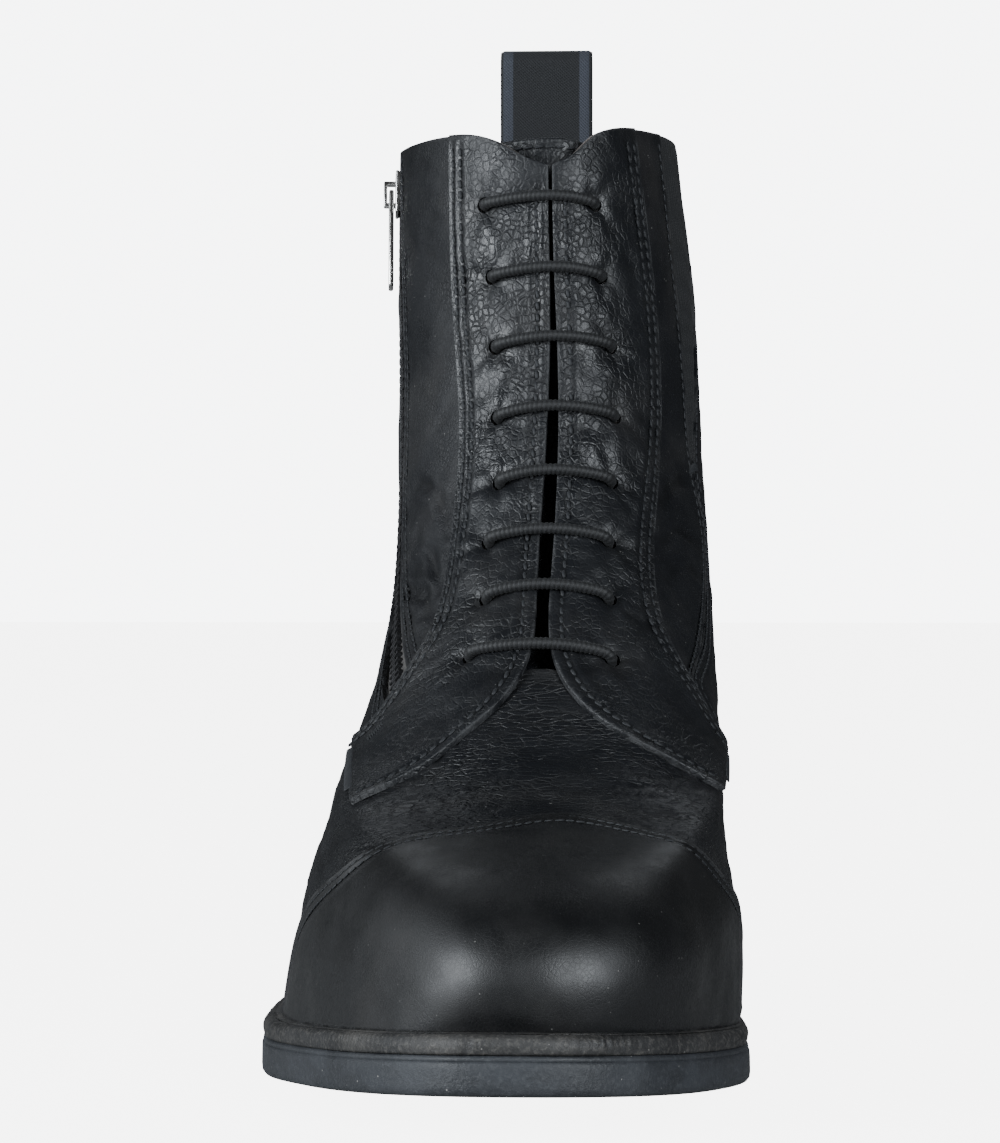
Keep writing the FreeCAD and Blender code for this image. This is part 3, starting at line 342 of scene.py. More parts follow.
class ZipLine:
    """The middle of the zip, and the leather edges beside it."""

    def __init__(self) -> None:
        straight = [tuple(np.array(ZIP_TOP) + (np.array(ZIP_TURN) - ZIP_TOP) * k / 4) for k in range(5)]
        self.curve = Track(*straight, *ZIP_BEND)

    def place(self, fraction: float, aside: float) -> Place:
        """Place beside the zip: aside is positive towards the heel."""
        here = self.curve.at(fraction)
        ahead = self.curve.at(fraction + 0.002) - self.curve.at(fraction - 0.002)
        ahead /= np.linalg.norm(ahead)
        aim = (here[0] - ahead[1] * aside, here[1] + ahead[0] * aside)
        place = np.array((3.2, 5.5 if fraction > 0.75 else 8.0))
        for _ in range(12):
            around, upwards = FORM.slopes(place)
            miss = np.array(aim) - (FORM.point(place) - FORM_SHIFT)[1:]
            place = place + np.linalg.solve(np.stack((around[1:], upwards[1:]), axis=1), miss)
        return (float(place[0]), float(place[1]))

    def edge(self, aside: float, last: float = 1.0) -> Track:
        """Line beside the zip, from the rim down."""
        lower = [self.place(0.04 + (last - 0.04) * step / 9, aside) for step in range(10)]
        return Track(rim_place(lower[0][0] + 0.015), *lower)

    def axes(self, fraction: float, lift: float) -> tuple[Array, Array, Array, Array]:
        """Centre, outward, across (towards the toe) and up along the zip."""
        place = np.array(self.place(fraction, 0.0))
        centre = FORM.point(place, lift)
        outward = FORM.normal(place)
        up = FORM.point(self.place(fraction - 0.01, 0.0)) - FORM.point(self.place(fraction + 0.01, 0.0))
        up -= outward * (up @ outward)
        up /= np.linalg.norm(up)
        return centre, outward, np.cross(up, outward), up


ZIP = ZipLine()


# --- meshes ------------------------------------------------------------------------------------------

def ripple(points: Array, wavelength: float, seed: int, stretch: Place = (1.0, 1.0)) -> Array:
    """Smooth irregular field of about -1..1 over points.

    Args:
        points: points in millimetres.
        wavelength: middle distance between two crests.
        seed: picks the field.
        stretch: how much longer the waves are along x, and along y.

    Returns:
        One value per point.
    """
    rng = np.random.default_rng(seed)
    waves = 16
    scaled = points / np.array((stretch[0], stretch[1], 1.0))
    total = np.zeros(points.shape[:-1])
    for _ in range(waves):
        way = rng.normal(size=3)
        way *= 2 * math.pi / (np.linalg.norm(way) * wavelength * rng.uniform(0.7, 1.5))
        total += np.sin(scaled @ way + rng.uniform(0, 2 * math.pi))
    return total / math.sqrt(waves)


def distance_to(points: Array, line: Array) -> Array:
    """Shortest distance from each point to a run of points."""
    start, step = line[:-1], np.diff(line, axis=0)
    length = np.maximum((step ** 2).sum(axis=1), 1e-9)
    best = np.full(len(points), np.inf)
    for origin, run, size in zip(start, step, length):
        away = points - origin
        share = np.clip(away @ run / size, 0.0, 1.0)
        best = np.minimum(best, ((away - share[:, None] * run) ** 2).sum(axis=1))
    return np.sqrt(best)


def deselect() -> None:
    """Nothing selected and nothing active."""
    bpy.ops.object.select_all(action="DESELECT")
    bpy.context.view_layer.objects.active = None


def pick(obj: bpy.types.Object) -> None:
    """Only this object selected and active."""
    deselect()
    obj.select_set(True)
    bpy.context.view_layer.objects.active = obj


def run_lengths(points: Array) -> Array:
    """Distance along a run of points up to each of them."""
    return np.concatenate(((0.0,), np.cumsum(np.linalg.norm(np.diff(points, axis=0), axis=1))))


def at_lengths(points: Array, lengths: Array, marks: Array) -> Array:
    """Points at given distances along a run."""
    return np.stack([np.interp(marks, lengths, points[:, k]) for k in range(points.shape[1])], axis=1)


def vertices_of(mesh: bpy.types.Mesh) -> Array:
    """Vertices of a mesh in metres, one row each."""
    points = np.zeros(len(mesh.vertices) * 3)
    mesh.vertices.foreach_get("co", points)
    return points.reshape(-1, 3)


def cloth_layer(mesh: bpy.types.Mesh, table: Array) -> None:
    """Gives a mesh the UV that the weaves read, from one row for each vertex, in millimetres."""
    loops = np.zeros(len(mesh.loops), np.int32)
    mesh.loops.foreach_get("vertex_index", loops)
    layer = mesh.uv_layers.new(name="cloth")
    layer.data.foreach_set("uv", table[loops].astype(np.float32).ravel())


def mesh_object(name: str, points: Array, faces: Sequence[Sequence[int]]) -> bpy.types.Object:
    """New object from points in millimetres."""
    mesh = bpy.data.meshes.new(name)
    mesh.from_pydata((np.asarray(points) * MM).tolist(), [], [tuple(face) for face in faces])
    mesh.update()
    obj = bpy.data.objects.new(name, mesh)
    bpy.context.scene.collection.objects.link(obj)
    return obj


def smooth(obj: bpy.types.Object, angle: Optional[float] = None) -> None:
    """Smooth shading, all over or up to an angle in degrees."""
    pick(obj)
    if angle is None:
        bpy.ops.object.shade_smooth()
    else:
        bpy.ops.object.shade_smooth_by_angle(angle=math.radians(angle))


def outward(obj: bpy.types.Object) -> None:
    """Doubles merged and all faces turned outwards."""
    pick(obj)
    bpy.ops.object.mode_set(mode="EDIT")
    bpy.ops.mesh.select_all(action="SELECT")
    bpy.ops.mesh.remove_doubles(threshold=1e-7)
    bpy.ops.mesh.normals_make_consistent(inside=False)
    bpy.ops.object.mode_set(mode="OBJECT")


def modify(obj: bpy.types.Object, kind: str, **settings: object) -> None:
    """Adds a modifier with its settings and applies it."""
    pick(obj)
    bpy.ops.object.modifier_add(type=kind)
    modifier = obj.modifiers[-1]
    for key, value in settings.items():
        setattr(modifier, key, value)
    bpy.ops.object.modifier_apply(modifier=modifier.name)


def dress(obj: bpy.types.Object, *materials: bpy.types.Material) -> None:
    """Puts materials in the object's slots."""
    obj.data.materials.clear()
    for material in materials:
        obj.data.materials.append(material)


def settle(obj: bpy.types.Object, body: str, slot: str, *nodes: str) -> bpy.types.Object:
    """Rides on a body and stands for its CAD nodes."""
    deselect()
    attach(obj, body)
    if nodes:
        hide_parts(*nodes)
    LOG.info("%s: %d faces", obj.name, len(obj.data.polygons))
    return obj


Relief = Callable[[Array, Array], Array]


@dataclass
class Seam:
    """A row of stitches beside a line on the form.

    Attributes:
        line: the line that the row follows.
        aside: distance from the line, to the left of its run seen from outside the boot.
        lift: height of the leather that the thread lies on.
        pitch: distance between two stitches.
        span: the stretch of the line that is sewn.
        thread: thickness of the thread.
    """

    line: Track
    aside: float
    lift: float
    pitch: float = 2.6
    span: Place = (0.005, 0.995)
    thread: float = 0.75

    def places(self) -> Array:
        """Places along the row."""
        run = self.line.at(np.linspace(*self.span, 90))
        return FORM.beside(run, self.aside)

    def points(self) -> Array:
        """Points along the row, on the leather."""
        return FORM.point(self.places(), self.lift)


@dataclass
class Panel:
    """A leather piece between two lifts above the form, bounded by four curves on it.

    Attributes:
        name: name of the piece.
        sides: bottom, right, top and left curves; bottom and top run the same way.
        inner: lift of the flesh side.
        outer: lift of the grain side.
        seams: rows of stitches that pull a groove into it.
        relief: further height over (points, places).
        cell: size of a face.
        roll: radius of the rolled edge.
    """

    name: str
    sides: tuple[Track, Track, Track, Track]
    inner: float
    outer: float
    seams: Sequence[Seam] = ()
    relief: Optional[Relief] = None
    cell: float = 1.0
    roll: float = 0.45

    def grid(self) -> Array:
        """Places over the panel, by row and column."""
        bottom, right, top, left = self.sides
        fine = np.linspace(0, 1, 60)
        lengths = []
        for pair in ((bottom, top), (left, right)):
            runs = [np.linalg.norm(np.diff(FORM.point(t.at(fine)), axis=0), axis=1).sum() for t in pair]
            lengths.append(max(max(runs), 2.0))
        across, along = (max(3, int(math.ceil(length / self.cell))) for length in lengths)
        s = np.linspace(0, 1, across + 1)[None, :, None]
        t = np.linspace(0, 1, along + 1)[:, None, None]
        ends = {"b": bottom.at(s[0, :, 0])[None], "t": top.at(s[0, :, 0])[None]}
        walls = {"l": left.at(t[:, 0, 0])[:, None], "r": right.at(t[:, 0, 0])[:, None]}
        sum_sides = ends["b"] * (1 - t) + ends["t"] * t + walls["l"] * (1 - s) + walls["r"] * s
        near = bottom.at(0) * (1 - s) + bottom.at(1) * s
        far = top.at(0) * (1 - s) + top.at(1) * s
        return sum_sides - near * (1 - t) - far * t

    def build(self) -> bpy.types.Object:
        """Closed mesh with a grain side, rolled edges, walls and a flesh side.

        Returns:
            The object, with attributes edge (0 at the rim of the panel) and fold (0..1 in grooves, which the
            leather finishes darken as painted shade).
        """
        places = self.grid()
        along, across = places.shape[:2]
        flat = places.reshape(-1, 2)
        base = FORM.point(flat, self.outer)
        edge_line = np.concatenate((base[:across], base.reshape(along, across, 3)[:, -1],
                                    base[-across:][::-1], base.reshape(along, across, 3)[::-1, 0]))
        away = distance_to(base, edge_line[::2])
        height = np.full(len(flat), float(self.outer))
        # fold marks the grooves along the seams and in the relief, where the leather finishes paint shade.
        fold = np.zeros(len(flat))
        for seam in self.seams:
            gap = distance_to(base, seam.points()[::2])
            groove = np.exp(-(gap / 0.8) ** 2)
            height -= 0.35 * groove
            height += 0.22 * np.exp(-((gap - 1.7) / 0.9) ** 2)
            fold = np.maximum(fold, groove)
        if self.relief:
            extra = self.relief(base, flat)
            height += extra * np.clip(away / 2.0, 0.15, 1.0)
            fold = np.maximum(fold, np.clip(-extra * 2.2, 0, 1))
        middle = self.inner + (self.outer - self.inner) * 0.45
        layers = [FORM.point(flat, height), FORM.point(flat, np.minimum(middle, height - 0.1)),
                  FORM.point(flat, self.inner)]
        count = len(flat)
        index = np.arange(count).reshape(along, across)
        quads = np.stack((index[:-1, :-1], index[:-1, 1:], index[1:, 1:], index[1:, :-1]), axis=-1)
        quads = quads.reshape(-1, 4)
        ring = np.concatenate((index[0, :-1], index[:-1, -1], index[-1, :0:-1], index[:0:-1, 0]))
        order = np.full(count, -1)
        order[ring] = np.arange(len(ring))
        after = np.roll(ring, -1)
        order_after = np.roll(order[ring], -1)
        mid = 2 * count + order[ring]
        mid_after = 2 * count + order_after
        upper_wall = np.stack((after, ring, mid, mid_after), axis=-1)
        lower_wall = np.stack((mid_after, mid, count + ring, count + after), axis=-1)
        points = np.concatenate((layers[0], layers[2], layers[1][ring]))
        faces = np.concatenate((quads, (quads + count)[:, ::-1], upper_wall, lower_wall))
        obj = mesh_object(self.name, points, faces.tolist())
        mesh = obj.data
        for label, values, under in (("edge", np.clip(away / 5.0, 0, 1), 0.0), ("fold", fold, 0.0)):
            whole = np.concatenate((values, values, np.full(len(ring), under)))
            mesh.attributes.new(label, "FLOAT", "POINT").data.foreach_set("value", whole.astype(np.float32))
        slots = np.zeros(len(faces), np.int32)
        slots[len(quads):2 * len(quads)] = 1
        slots[-len(ring):] = 1
        mesh.polygons.foreach_set("material_index", slots)
        self.roll_edges(obj, ring)
        outward(obj)
        smooth(obj)
        return obj

    def roll_edges(self, obj: bpy.types.Object, ring: Array) -> None:
        """Bevels the edge between the grain side and the walls."""
        mesh = obj.data
        on_rim = np.zeros(len(mesh.vertices), bool)
        on_rim[ring] = True
        ends = np.zeros(len(mesh.edges) * 2, np.int32)
        mesh.edges.foreach_get("vertices", ends)
        ends = ends.reshape(-1, 2)
        weight = (on_rim[ends[:, 0]] & on_rim[ends[:, 1]]).astype(np.float32)
        mesh.attributes.new("bevel_weight_edge", "FLOAT", "EDGE").data.foreach_set("value", weight)
        modify(obj, "BEVEL", width=self.roll * MM, segments=3, limit_method="WEIGHT",
               use_clamp_overlap=True, material=0)


def capsule(segments: int = 6) -> tuple[Array, list[list[int]]]:
    """Unit stitch: a rounded bar of length 1 along x and diameter 1, with few faces."""
    deselect()
    bpy.ops.mesh.primitive_uv_sphere_add(segments=segments, ring_count=5, radius=0.5)
    ball = bpy.context.object
    points = np.array([vertex.co[:] for vertex in ball.data.vertices])
    faces = [list(polygon.vertices) for polygon in ball.data.polygons]
    bpy.data.objects.remove(ball)
    turned = points[:, (2, 0, 1)]
    turned[:, 0] = np.sign(turned[:, 0]) * np.abs(turned[:, 0] * 2) ** 0.6 / 2
    return turned, faces


CAPSULE = capsule()


def even_steps(line: Array, pitch: float) -> tuple[Array, Array]:
    """Fractions of the run of points at an even pitch, as positions and directions."""
    lengths = np.concatenate(((0.0,), np.cumsum(np.linalg.norm(np.diff(line, axis=0), axis=1))))
    count = max(2, int(lengths[-1] / pitch))
    marks = (np.arange(count) + 0.5) * lengths[-1] / count
    spots = np.stack([np.interp(marks, lengths, line[:, k]) for k in range(3)], axis=1)
    ahead = np.stack([np.interp(marks + 0.3, lengths, line[:, k]) for k in range(3)], axis=1) - \
        np.stack([np.interp(marks - 0.3, lengths, line[:, k]) for k in range(3)], axis=1)
    return spots, ahead / np.linalg.norm(ahead, axis=1, keepdims=True)


def bars(name: str, spots: Array, along: Array, above: Array, length: float, width: float,
         height: float) -> bpy.types.Object:
    """Many small rounded bars as one mesh.

    Args:
        name: name of the piece.
        spots: centres.
        along: directions of the bars.
        above: directions away from the leather.
        length: length of a bar.
        width: thickness across.
        height: thickness away from the leather.

    Returns:
        The object.
    """
    unit, faces = CAPSULE
    across = np.cross(above, along)
    across /= np.linalg.norm(across, axis=1, keepdims=True)
    above = np.cross(along, across)
    placed = (spots[:, None] + unit[None, :, :1] * length * along[:, None]
              + unit[None, :, 1:2] * width * across[:, None] + unit[None, :, 2:] * height * above[:, None])
    all_faces = []
    for number in range(len(spots)):
        base = number * len(unit)
        all_faces += [[base + corner for corner in face] for face in faces]
    obj = mesh_object(name, placed.reshape(-1, 3), all_faces)
    smooth(obj)
    return obj


def sewn(name: str, seams: Sequence[Seam]) -> bpy.types.Object:
    """All stitches of some seams as one mesh."""
    spots, along, above = [], [], []
    for seam in seams:
        places = seam.places()
        line = FORM.point(places, seam.lift - 0.02)
        here, ahead = even_steps(line, seam.pitch)
        nearest = [int(np.argmin(((line - spot) ** 2).sum(axis=1))) for spot in here]
        up = FORM.normal(places)[nearest]
        lean = np.cross(up, ahead) * 0.16
        ahead = ahead + lean
        spots.append(here)
        along.append(ahead / np.linalg.norm(ahead, axis=1, keepdims=True))
        above.append(up)
    first = seams[0]
    return bars(name, np.concatenate(spots), np.concatenate(along), np.concatenate(above),
                first.pitch * 0.84, first.thread, first.thread * 0.8)


# --- finishes ----------------------------------------------------------------------------------------

Socket = bpy.types.NodeSocket
Colour = tuple[float, float, float]


class Graph:
    """Short hand for a node tree: makes nodes, links and sums."""

    def __init__(self, tree: bpy.types.NodeTree) -> None:
        self.tree = tree

    def node(self, kind: str, inputs: Optional[dict] = None, **settings: object) -> bpy.types.Node:
        """New node.

        Args:
            kind: type without its prefix.
            inputs: values or sockets by the input's name or number.
            settings: properties of the node.

        Returns:
            The node.
        """
        made = self.tree.nodes.new(kind)
        for key, value in settings.items():
            setattr(made, key, value)
        for key, value in (inputs or {}).items():
            if isinstance(value, bpy.types.NodeSocket):
                self.tree.links.new(value, made.inputs[key])
            else:
                made.inputs[key].default_value = value
        return made

    def sum(self, operation: str, *values: object, clamp: bool = False) -> Socket:
        """Math node over numbers or sockets."""
        return self.node("ShaderNodeMath", dict(enumerate(values)), operation=operation,
                         use_clamp=clamp).outputs[0]

    def spread(self, value: object, low: float, high: float, out_low: float = 0.0,
               out_high: float = 1.0) -> Socket:
        """Smooth step of a value between two levels."""
        return self.node("ShaderNodeMapRange", {0: value, 1: low, 2: high, 3: out_low, 4: out_high},
                         interpolation_type="SMOOTHSTEP").outputs[0]

    def mix(self, share: object, first: object, second: object, blend: str = "MIX") -> Socket:
        """Mix of two colours."""
        made = self.node("ShaderNodeMix", data_type="RGBA", blend_type=blend)
        for socket, value in ((made.inputs[0], share), (made.inputs[6], first), (made.inputs[7], second)):
            if isinstance(value, bpy.types.NodeSocket):
                self.tree.links.new(value, socket)
            else:
                socket.default_value = (*value, 1.0) if isinstance(value, tuple) else value
        return made.outputs[2]

    def noise(self, vector: Socket, scale: object, detail: float = 3.0, rough: float = 0.55) -> Socket:
        """Noise over a vector, about 0.3..0.7."""
        return self.node("ShaderNodeTexNoise", {"Vector": vector, "Scale": scale, "Detail": detail,
                                                "Roughness": rough}).outputs[0]

    def here(self) -> Socket:
        """Place on the object, in metres."""
        return self.node("ShaderNodeTexCoord").outputs["Object"]

    def attribute(self, name: str) -> Socket:
        """Value painted on the mesh."""
        return self.node("ShaderNodeAttribute", attribute_name=name).outputs["Fac"]

    def around(self, vector: Socket, factor: Sequence[float]) -> Socket:
        """Vector scaled by three factors."""
        return self.node("ShaderNodeVectorMath", {0: vector, 1: tuple(factor)},
                         operation="MULTIPLY").outputs[0]


def group(name: str, inputs: dict[str, float], outputs: Sequence[str]) -> tuple[Graph, dict, dict]:
    """New shader node group with named sockets.

    Args:
        name: name of the group.
        inputs: default by input name; a vector input has the default None.
        outputs: names of value outputs.

    Returns:
        The graph, the input sockets by name and the output sockets by name.
    """
    tree = bpy.data.node_groups.new(name, "ShaderNodeTree")
    for label, default in inputs.items():
        kind = "NodeSocketVector" if default is None else "NodeSocketFloat"
        socket = tree.interface.new_socket(label, in_out="INPUT", socket_type=kind)
        if default is not None:
            socket.default_value = default
    for label in outputs:
        tree.interface.new_socket(label, in_out="OUTPUT", socket_type="NodeSocketFloat")
    graph = Graph(tree)
    entry, leave = graph.node("NodeGroupInput"), graph.node("NodeGroupOutput")
    return graph, entry.outputs, leave.inputs


def grain_group() -> bpy.types.NodeTree:
    """Tumbled leather: pebbles between fine creases, and pores; the Crease Line output also marks the creases
    that the leather finish darkens as painted shade.
    """
    g, given, out = group("leather_grain", {"Place": None, "Cell": 1.6, "Crease": 1.0, "Pore": 0.4},
                          ("Height", "Pebble", "Crease Line"))
    scale = g.sum("DIVIDE", 1000.0, given["Cell"])
    bend = g.node("ShaderNodeTexNoise", {"Vector": given["Place"], "Scale": g.sum("MULTIPLY", scale, 0.6),
                                         "Detail": 2.0}).outputs[1]
    off = g.node("ShaderNodeVectorMath", {0: bend, 1: (0.5, 0.5, 0.5)}, operation="SUBTRACT").outputs[0]
    spread = g.node("ShaderNodeVectorMath", {0: off, 3: g.sum("DIVIDE", 0.55, scale)}, operation="SCALE")
    place = g.node("ShaderNodeVectorMath", {0: given["Place"], 1: spread.outputs[0]}, operation="ADD")
    cells = g.node("ShaderNodeTexVoronoi", {"Vector": place.outputs[0], "Scale": scale},
                   feature="DISTANCE_TO_EDGE")
    fine = g.node("ShaderNodeTexVoronoi", {"Vector": place.outputs[0],
                                           "Scale": g.sum("MULTIPLY", scale, 2.3)},
                  feature="DISTANCE_TO_EDGE")
    strength = g.noise(given["Place"], g.sum("MULTIPLY", scale, 0.14), 2.0)
    patchy = g.spread(strength, 0.38, 0.62, 0.35, 1.0)
    pebble = g.spread(cells.outputs[0], 0.0, 0.17)
    small = g.spread(fine.outputs[0], 0.0, 0.17)
    deep = g.sum("MULTIPLY", g.sum("MULTIPLY", g.sum("SUBTRACT", 1.0, pebble), patchy), given["Crease"])
    shallow = g.sum("MULTIPLY", g.sum("SUBTRACT", 1.0, small), 0.16)
    pores = g.noise(given["Place"], g.sum("MULTIPLY", scale, 5.5), 3.0, 0.7)
    pored = g.sum("MULTIPLY", g.sum("SUBTRACT", pores, 0.5), given["Pore"])
    height = g.sum("SUBTRACT", g.sum("ADD", 1.0, pored), g.sum("ADD", deep, shallow))
    g.tree.links.new(height, out["Height"])
    g.tree.links.new(pebble, out["Pebble"])
    g.tree.links.new(deep, out["Crease Line"])
    return g.tree


def dust_group() -> bpy.types.NodeTree:
    """Fine specks and a patchy dusty film."""
    g, given, out = group("dust", {"Place": None, "Amount": 0.5}, ("Film", "Specks"))
    film = g.spread(g.noise(given["Place"], 34.0, 4.0, 0.6), 0.45, 0.72)
    dots = g.node("ShaderNodeTexVoronoi", {"Vector": given["Place"], "Scale": 700.0})
    speck = g.spread(dots.outputs[0], 0.16, 0.05)
    chosen = g.spread(g.noise(given["Place"], 300.0, 1.0), 0.60, 0.70)
    g.tree.links.new(g.sum("MULTIPLY", film, given["Amount"]), out["Film"])
    g.tree.links.new(g.sum("MULTIPLY", g.sum("MULTIPLY", speck, chosen), given["Amount"]), out["Specks"])
    return g.tree


def weave_group() -> bpy.types.NodeTree:
    """Twill or plain weave over a UV in millimetres: raised threads along diagonals, and a tone output that
    paints the raised threads light and the gaps between them dark, as painted highlight and shade.
    """
    g, given, out = group("weave", {"Cloth": None, "Thread": 0.5, "Twill": 1.0}, ("Height", "Painted Weave Shade"))
    split = g.node("ShaderNodeSeparateXYZ", {0: given["Cloth"]})
    u = g.sum("DIVIDE", split.outputs[0], given["Thread"])
    v = g.sum("DIVIDE", split.outputs[1], given["Thread"])
    lean = g.sum("MULTIPLY", v, given["Twill"])
    stripe = g.sum("SINE", g.sum("MULTIPLY", g.sum("ADD", u, lean), math.pi))
    cross = g.sum("SINE", g.sum("MULTIPLY", g.sum("SUBTRACT", v, g.sum("MULTIPLY", u, 0.5)), math.pi))
    rib = g.sum("ABSOLUTE", stripe)
    knot = g.sum("ABSOLUTE", cross)
    height = g.sum("ADD", g.sum("MULTIPLY", rib, 0.7), g.sum("MULTIPLY", knot, 0.3))
    g.tree.links.new(height, out["Height"])
    g.tree.links.new(g.spread(height, 0.15, 0.85), out["Painted Weave Shade"])
    return g.tree


GRAIN, DUST, WEAVE = grain_group(), dust_group(), weave_group()


def material(name: str, rough: float, metal: float = 0.0, coat: float = 0.0, coat_rough: float = 0.3,
             sheen: float = 0.0) -> tuple[bpy.types.Material, Graph, bpy.types.Node]:
    """New material with its constants set on the shader.

    Args:
        name: name of the finish.
        rough: roughness.
        metal: metallic share.
        coat: weight of the polish layer.
        coat_rough: roughness of the polish layer.
        sheen: weight of the fibre sheen.

    Returns:
        The material, its graph and its shader.
    """
    made = bpy.data.materials.new(name)
    made.use_nodes = True
    graph = Graph(made.node_tree)
    shader = made.node_tree.nodes["Principled BSDF"]
    for label, value in (("Roughness", rough), ("Metallic", metal), ("Coat Weight", coat),
                         ("Coat Roughness", coat_rough), ("Sheen Weight", sheen)):
        shader.inputs[label].default_value = value
    shader.inputs["Sheen Roughness"].default_value = 0.6
    shader.inputs["Specular IOR Level"].default_value = 0.5 if metal else 0.32
    return made, graph, shader


def raise_surface(graph: Graph, shader: bpy.types.Node, height: Socket, depth: float,
                  strength: float = 1.0) -> None:
    """Bump of a height of 0..1 that is depth millimetres deep."""
    bump = graph.node("ShaderNodeBump", {"Height": height, "Distance": depth * MM, "Strength": strength})
    graph.tree.links.new(bump.outputs[0], shader.inputs["Normal"])


@dataclass(frozen=True)
class Leather:
    """Dyed leather, with painted shade in the creases of its grain and in its grooves.

    Attributes:
        name: name of the finish.
        colour: colour of the leather.
        worn: colour where it is rubbed.
        rough: roughness.
        cell: size of a grain pebble in millimetres.
        crease: depth of the creases between pebbles, 0..1, which also sets how dark their painted shade is.
        depth: depth of the grain in millimetres.
        polish: weight of the polish layer.
        dust: amount of dust.
        stretch: how much closer the grain is along each axis.
        pore: depth of the pores against the grain.
    """

    name: str
    colour: Colour
    worn: Colour
    rough: float = 0.45
    cell: float = 1.6
    crease: float = 1.0
    depth: float = 0.16
    polish: float = 0.0
    dust: float = 0.4
    stretch: tuple[float, float, float] = (1.0, 1.0, 1.0)
    pore: float = 0.06

    def make(self) -> bpy.types.Material:
        """The material."""
        made, g, shader = material(self.name, self.rough, coat=self.polish, coat_rough=0.42)
        place = g.around(g.here(), self.stretch)
        grain = g.node("ShaderNodeGroup", node_tree=GRAIN)
        for label, value in (("Cell", self.cell), ("Crease", self.crease), ("Pore", self.pore)):
            grain.inputs[label].default_value = value
        g.tree.links.new(place, grain.inputs["Place"])
        dust = g.node("ShaderNodeGroup", node_tree=DUST)
        dust.inputs["Amount"].default_value = self.dust
        g.tree.links.new(place, dust.inputs["Place"])
        edge, fold = g.attribute("edge"), g.attribute("fold")
        cloudy = g.spread(g.noise(place, 28.0, 3.0), 0.35, 0.7, 0.0, 0.45)
        tone = g.mix(cloudy, self.colour, tuple(c * 1.5 for c in self.colour))
        # Painted shade: the grain's creases and the grooves along seams and folds are darkened in the colour.
        painted_groove_shade = tuple(c * 0.45 for c in self.colour)
        tone = g.mix(g.sum("MULTIPLY", grain.outputs["Crease Line"], 0.6), tone, painted_groove_shade)
        tone = g.mix(g.sum("MULTIPLY", fold, 0.6), tone, painted_groove_shade)
        rubbed = g.sum("MULTIPLY", g.spread(edge, 0.16, 0.0), g.spread(g.noise(place, 160.0, 3.0), 0.4, 0.62))
        tone = g.mix(g.sum("MULTIPLY", rubbed, 0.55), tone, self.worn)
        tone = g.mix(g.sum("MULTIPLY", dust.outputs["Film"], 0.12), tone, (0.16, 0.15, 0.14))
        tone = g.mix(dust.outputs["Specks"], tone, (0.32, 0.31, 0.29))
        g.tree.links.new(tone, shader.inputs["Base Color"])
        uneven = g.noise(place, 90.0, 4.0)
        gloss = g.spread(uneven, 0.3, 0.7, self.rough - 0.07, self.rough + 0.09)
        gloss = g.sum("ADD", gloss, g.sum("MULTIPLY", grain.outputs["Crease Line"], 0.2))
        g.tree.links.new(g.sum("ADD", gloss, g.sum("MULTIPLY", rubbed, 0.2)), shader.inputs["Roughness"])
        raise_surface(g, shader, grain.outputs["Height"], self.depth)
        return made


@dataclass(frozen=True)
class RawEdge:
    """Cut edge and flesh side of leather: fibrous and matt."""

    name: str
    colour: Colour

    def make(self) -> bpy.types.Material:
        """The material."""
        made, g, shader = material(self.name, 0.85, sheen=0.15)
        place = g.here()
        fibre = g.noise(place, 1400.0, 5.0, 0.75)
        patch = g.noise(place, 120.0, 3.0)
        tone = g.mix(g.spread(patch, 0.35, 0.7), self.colour, tuple(c * 0.4 for c in self.colour))
        tone = g.mix(g.spread(fibre, 0.4, 0.7, 0.0, 0.5), tone, tuple(c * 2.0 for c in self.colour))
        g.tree.links.new(tone, shader.inputs["Base Color"])
        raise_surface(g, shader, fibre, 0.12)
        return made


@dataclass(frozen=True)
class Thread:
    """Sewing thread: twisted and slightly shiny, with painted shade where a fold attribute marks grooves."""

    name: str
    colour: Colour

    def make(self) -> bpy.types.Material:
        """The material."""
        made, g, shader = material(self.name, 0.6, sheen=0.03)
        place = g.here()
        twist = g.noise(place, 2600.0, 2.0)
        tone = g.mix(g.spread(twist, 0.35, 0.65), tuple(c * 0.5 for c in self.colour), self.colour)
        # Painted shade: darker where the fold attribute marks grooves, as between the lace's turns of yarn.
        tone = g.mix(g.sum("MULTIPLY", g.attribute("fold"), 0.85), tone, tuple(c * 0.15 for c in self.colour))
        g.tree.links.new(tone, shader.inputs["Base Color"])
        raise_surface(g, shader, twist, 0.06)
        return made


@dataclass(frozen=True)
class Rubber:
    """Moulded rubber with a fine texture, dusty where it is rubbed."""

    name: str
    colour: Colour
    worn: Colour
    rough: float = 0.62
    depth: float = 0.10

    def make(self) -> bpy.types.Material:
        """The material."""
        made, g, shader = material(self.name, self.rough)
        place = g.here()
        dust = g.node("ShaderNodeGroup", node_tree=DUST)
        dust.inputs["Amount"].default_value = 0.8
        g.tree.links.new(place, dust.inputs["Place"])
        speckle = g.noise(place, 900.0, 4.0, 0.7)
        broad = g.noise(g.around(place, (1.0, 1.0, 2.5)), 60.0, 4.0)
        tone = g.mix(g.spread(broad, 0.35, 0.7), self.colour, tuple(c * 1.55 for c in self.colour))
        tone = g.mix(g.spread(speckle, 0.45, 0.75, 0.0, 0.35), tone, self.worn)
        tone = g.mix(g.sum("MULTIPLY", dust.outputs["Film"], 0.3), tone, self.worn)
        tone = g.mix(dust.outputs["Specks"], tone, (0.3, 0.29, 0.27))
        g.tree.links.new(tone, shader.inputs["Base Color"])
        g.tree.links.new(g.spread(broad, 0.3, 0.7, self.rough - 0.08, self.rough + 0.12),
                         shader.inputs["Roughness"])
        raise_surface(g, shader, speckle, self.depth)
        return made


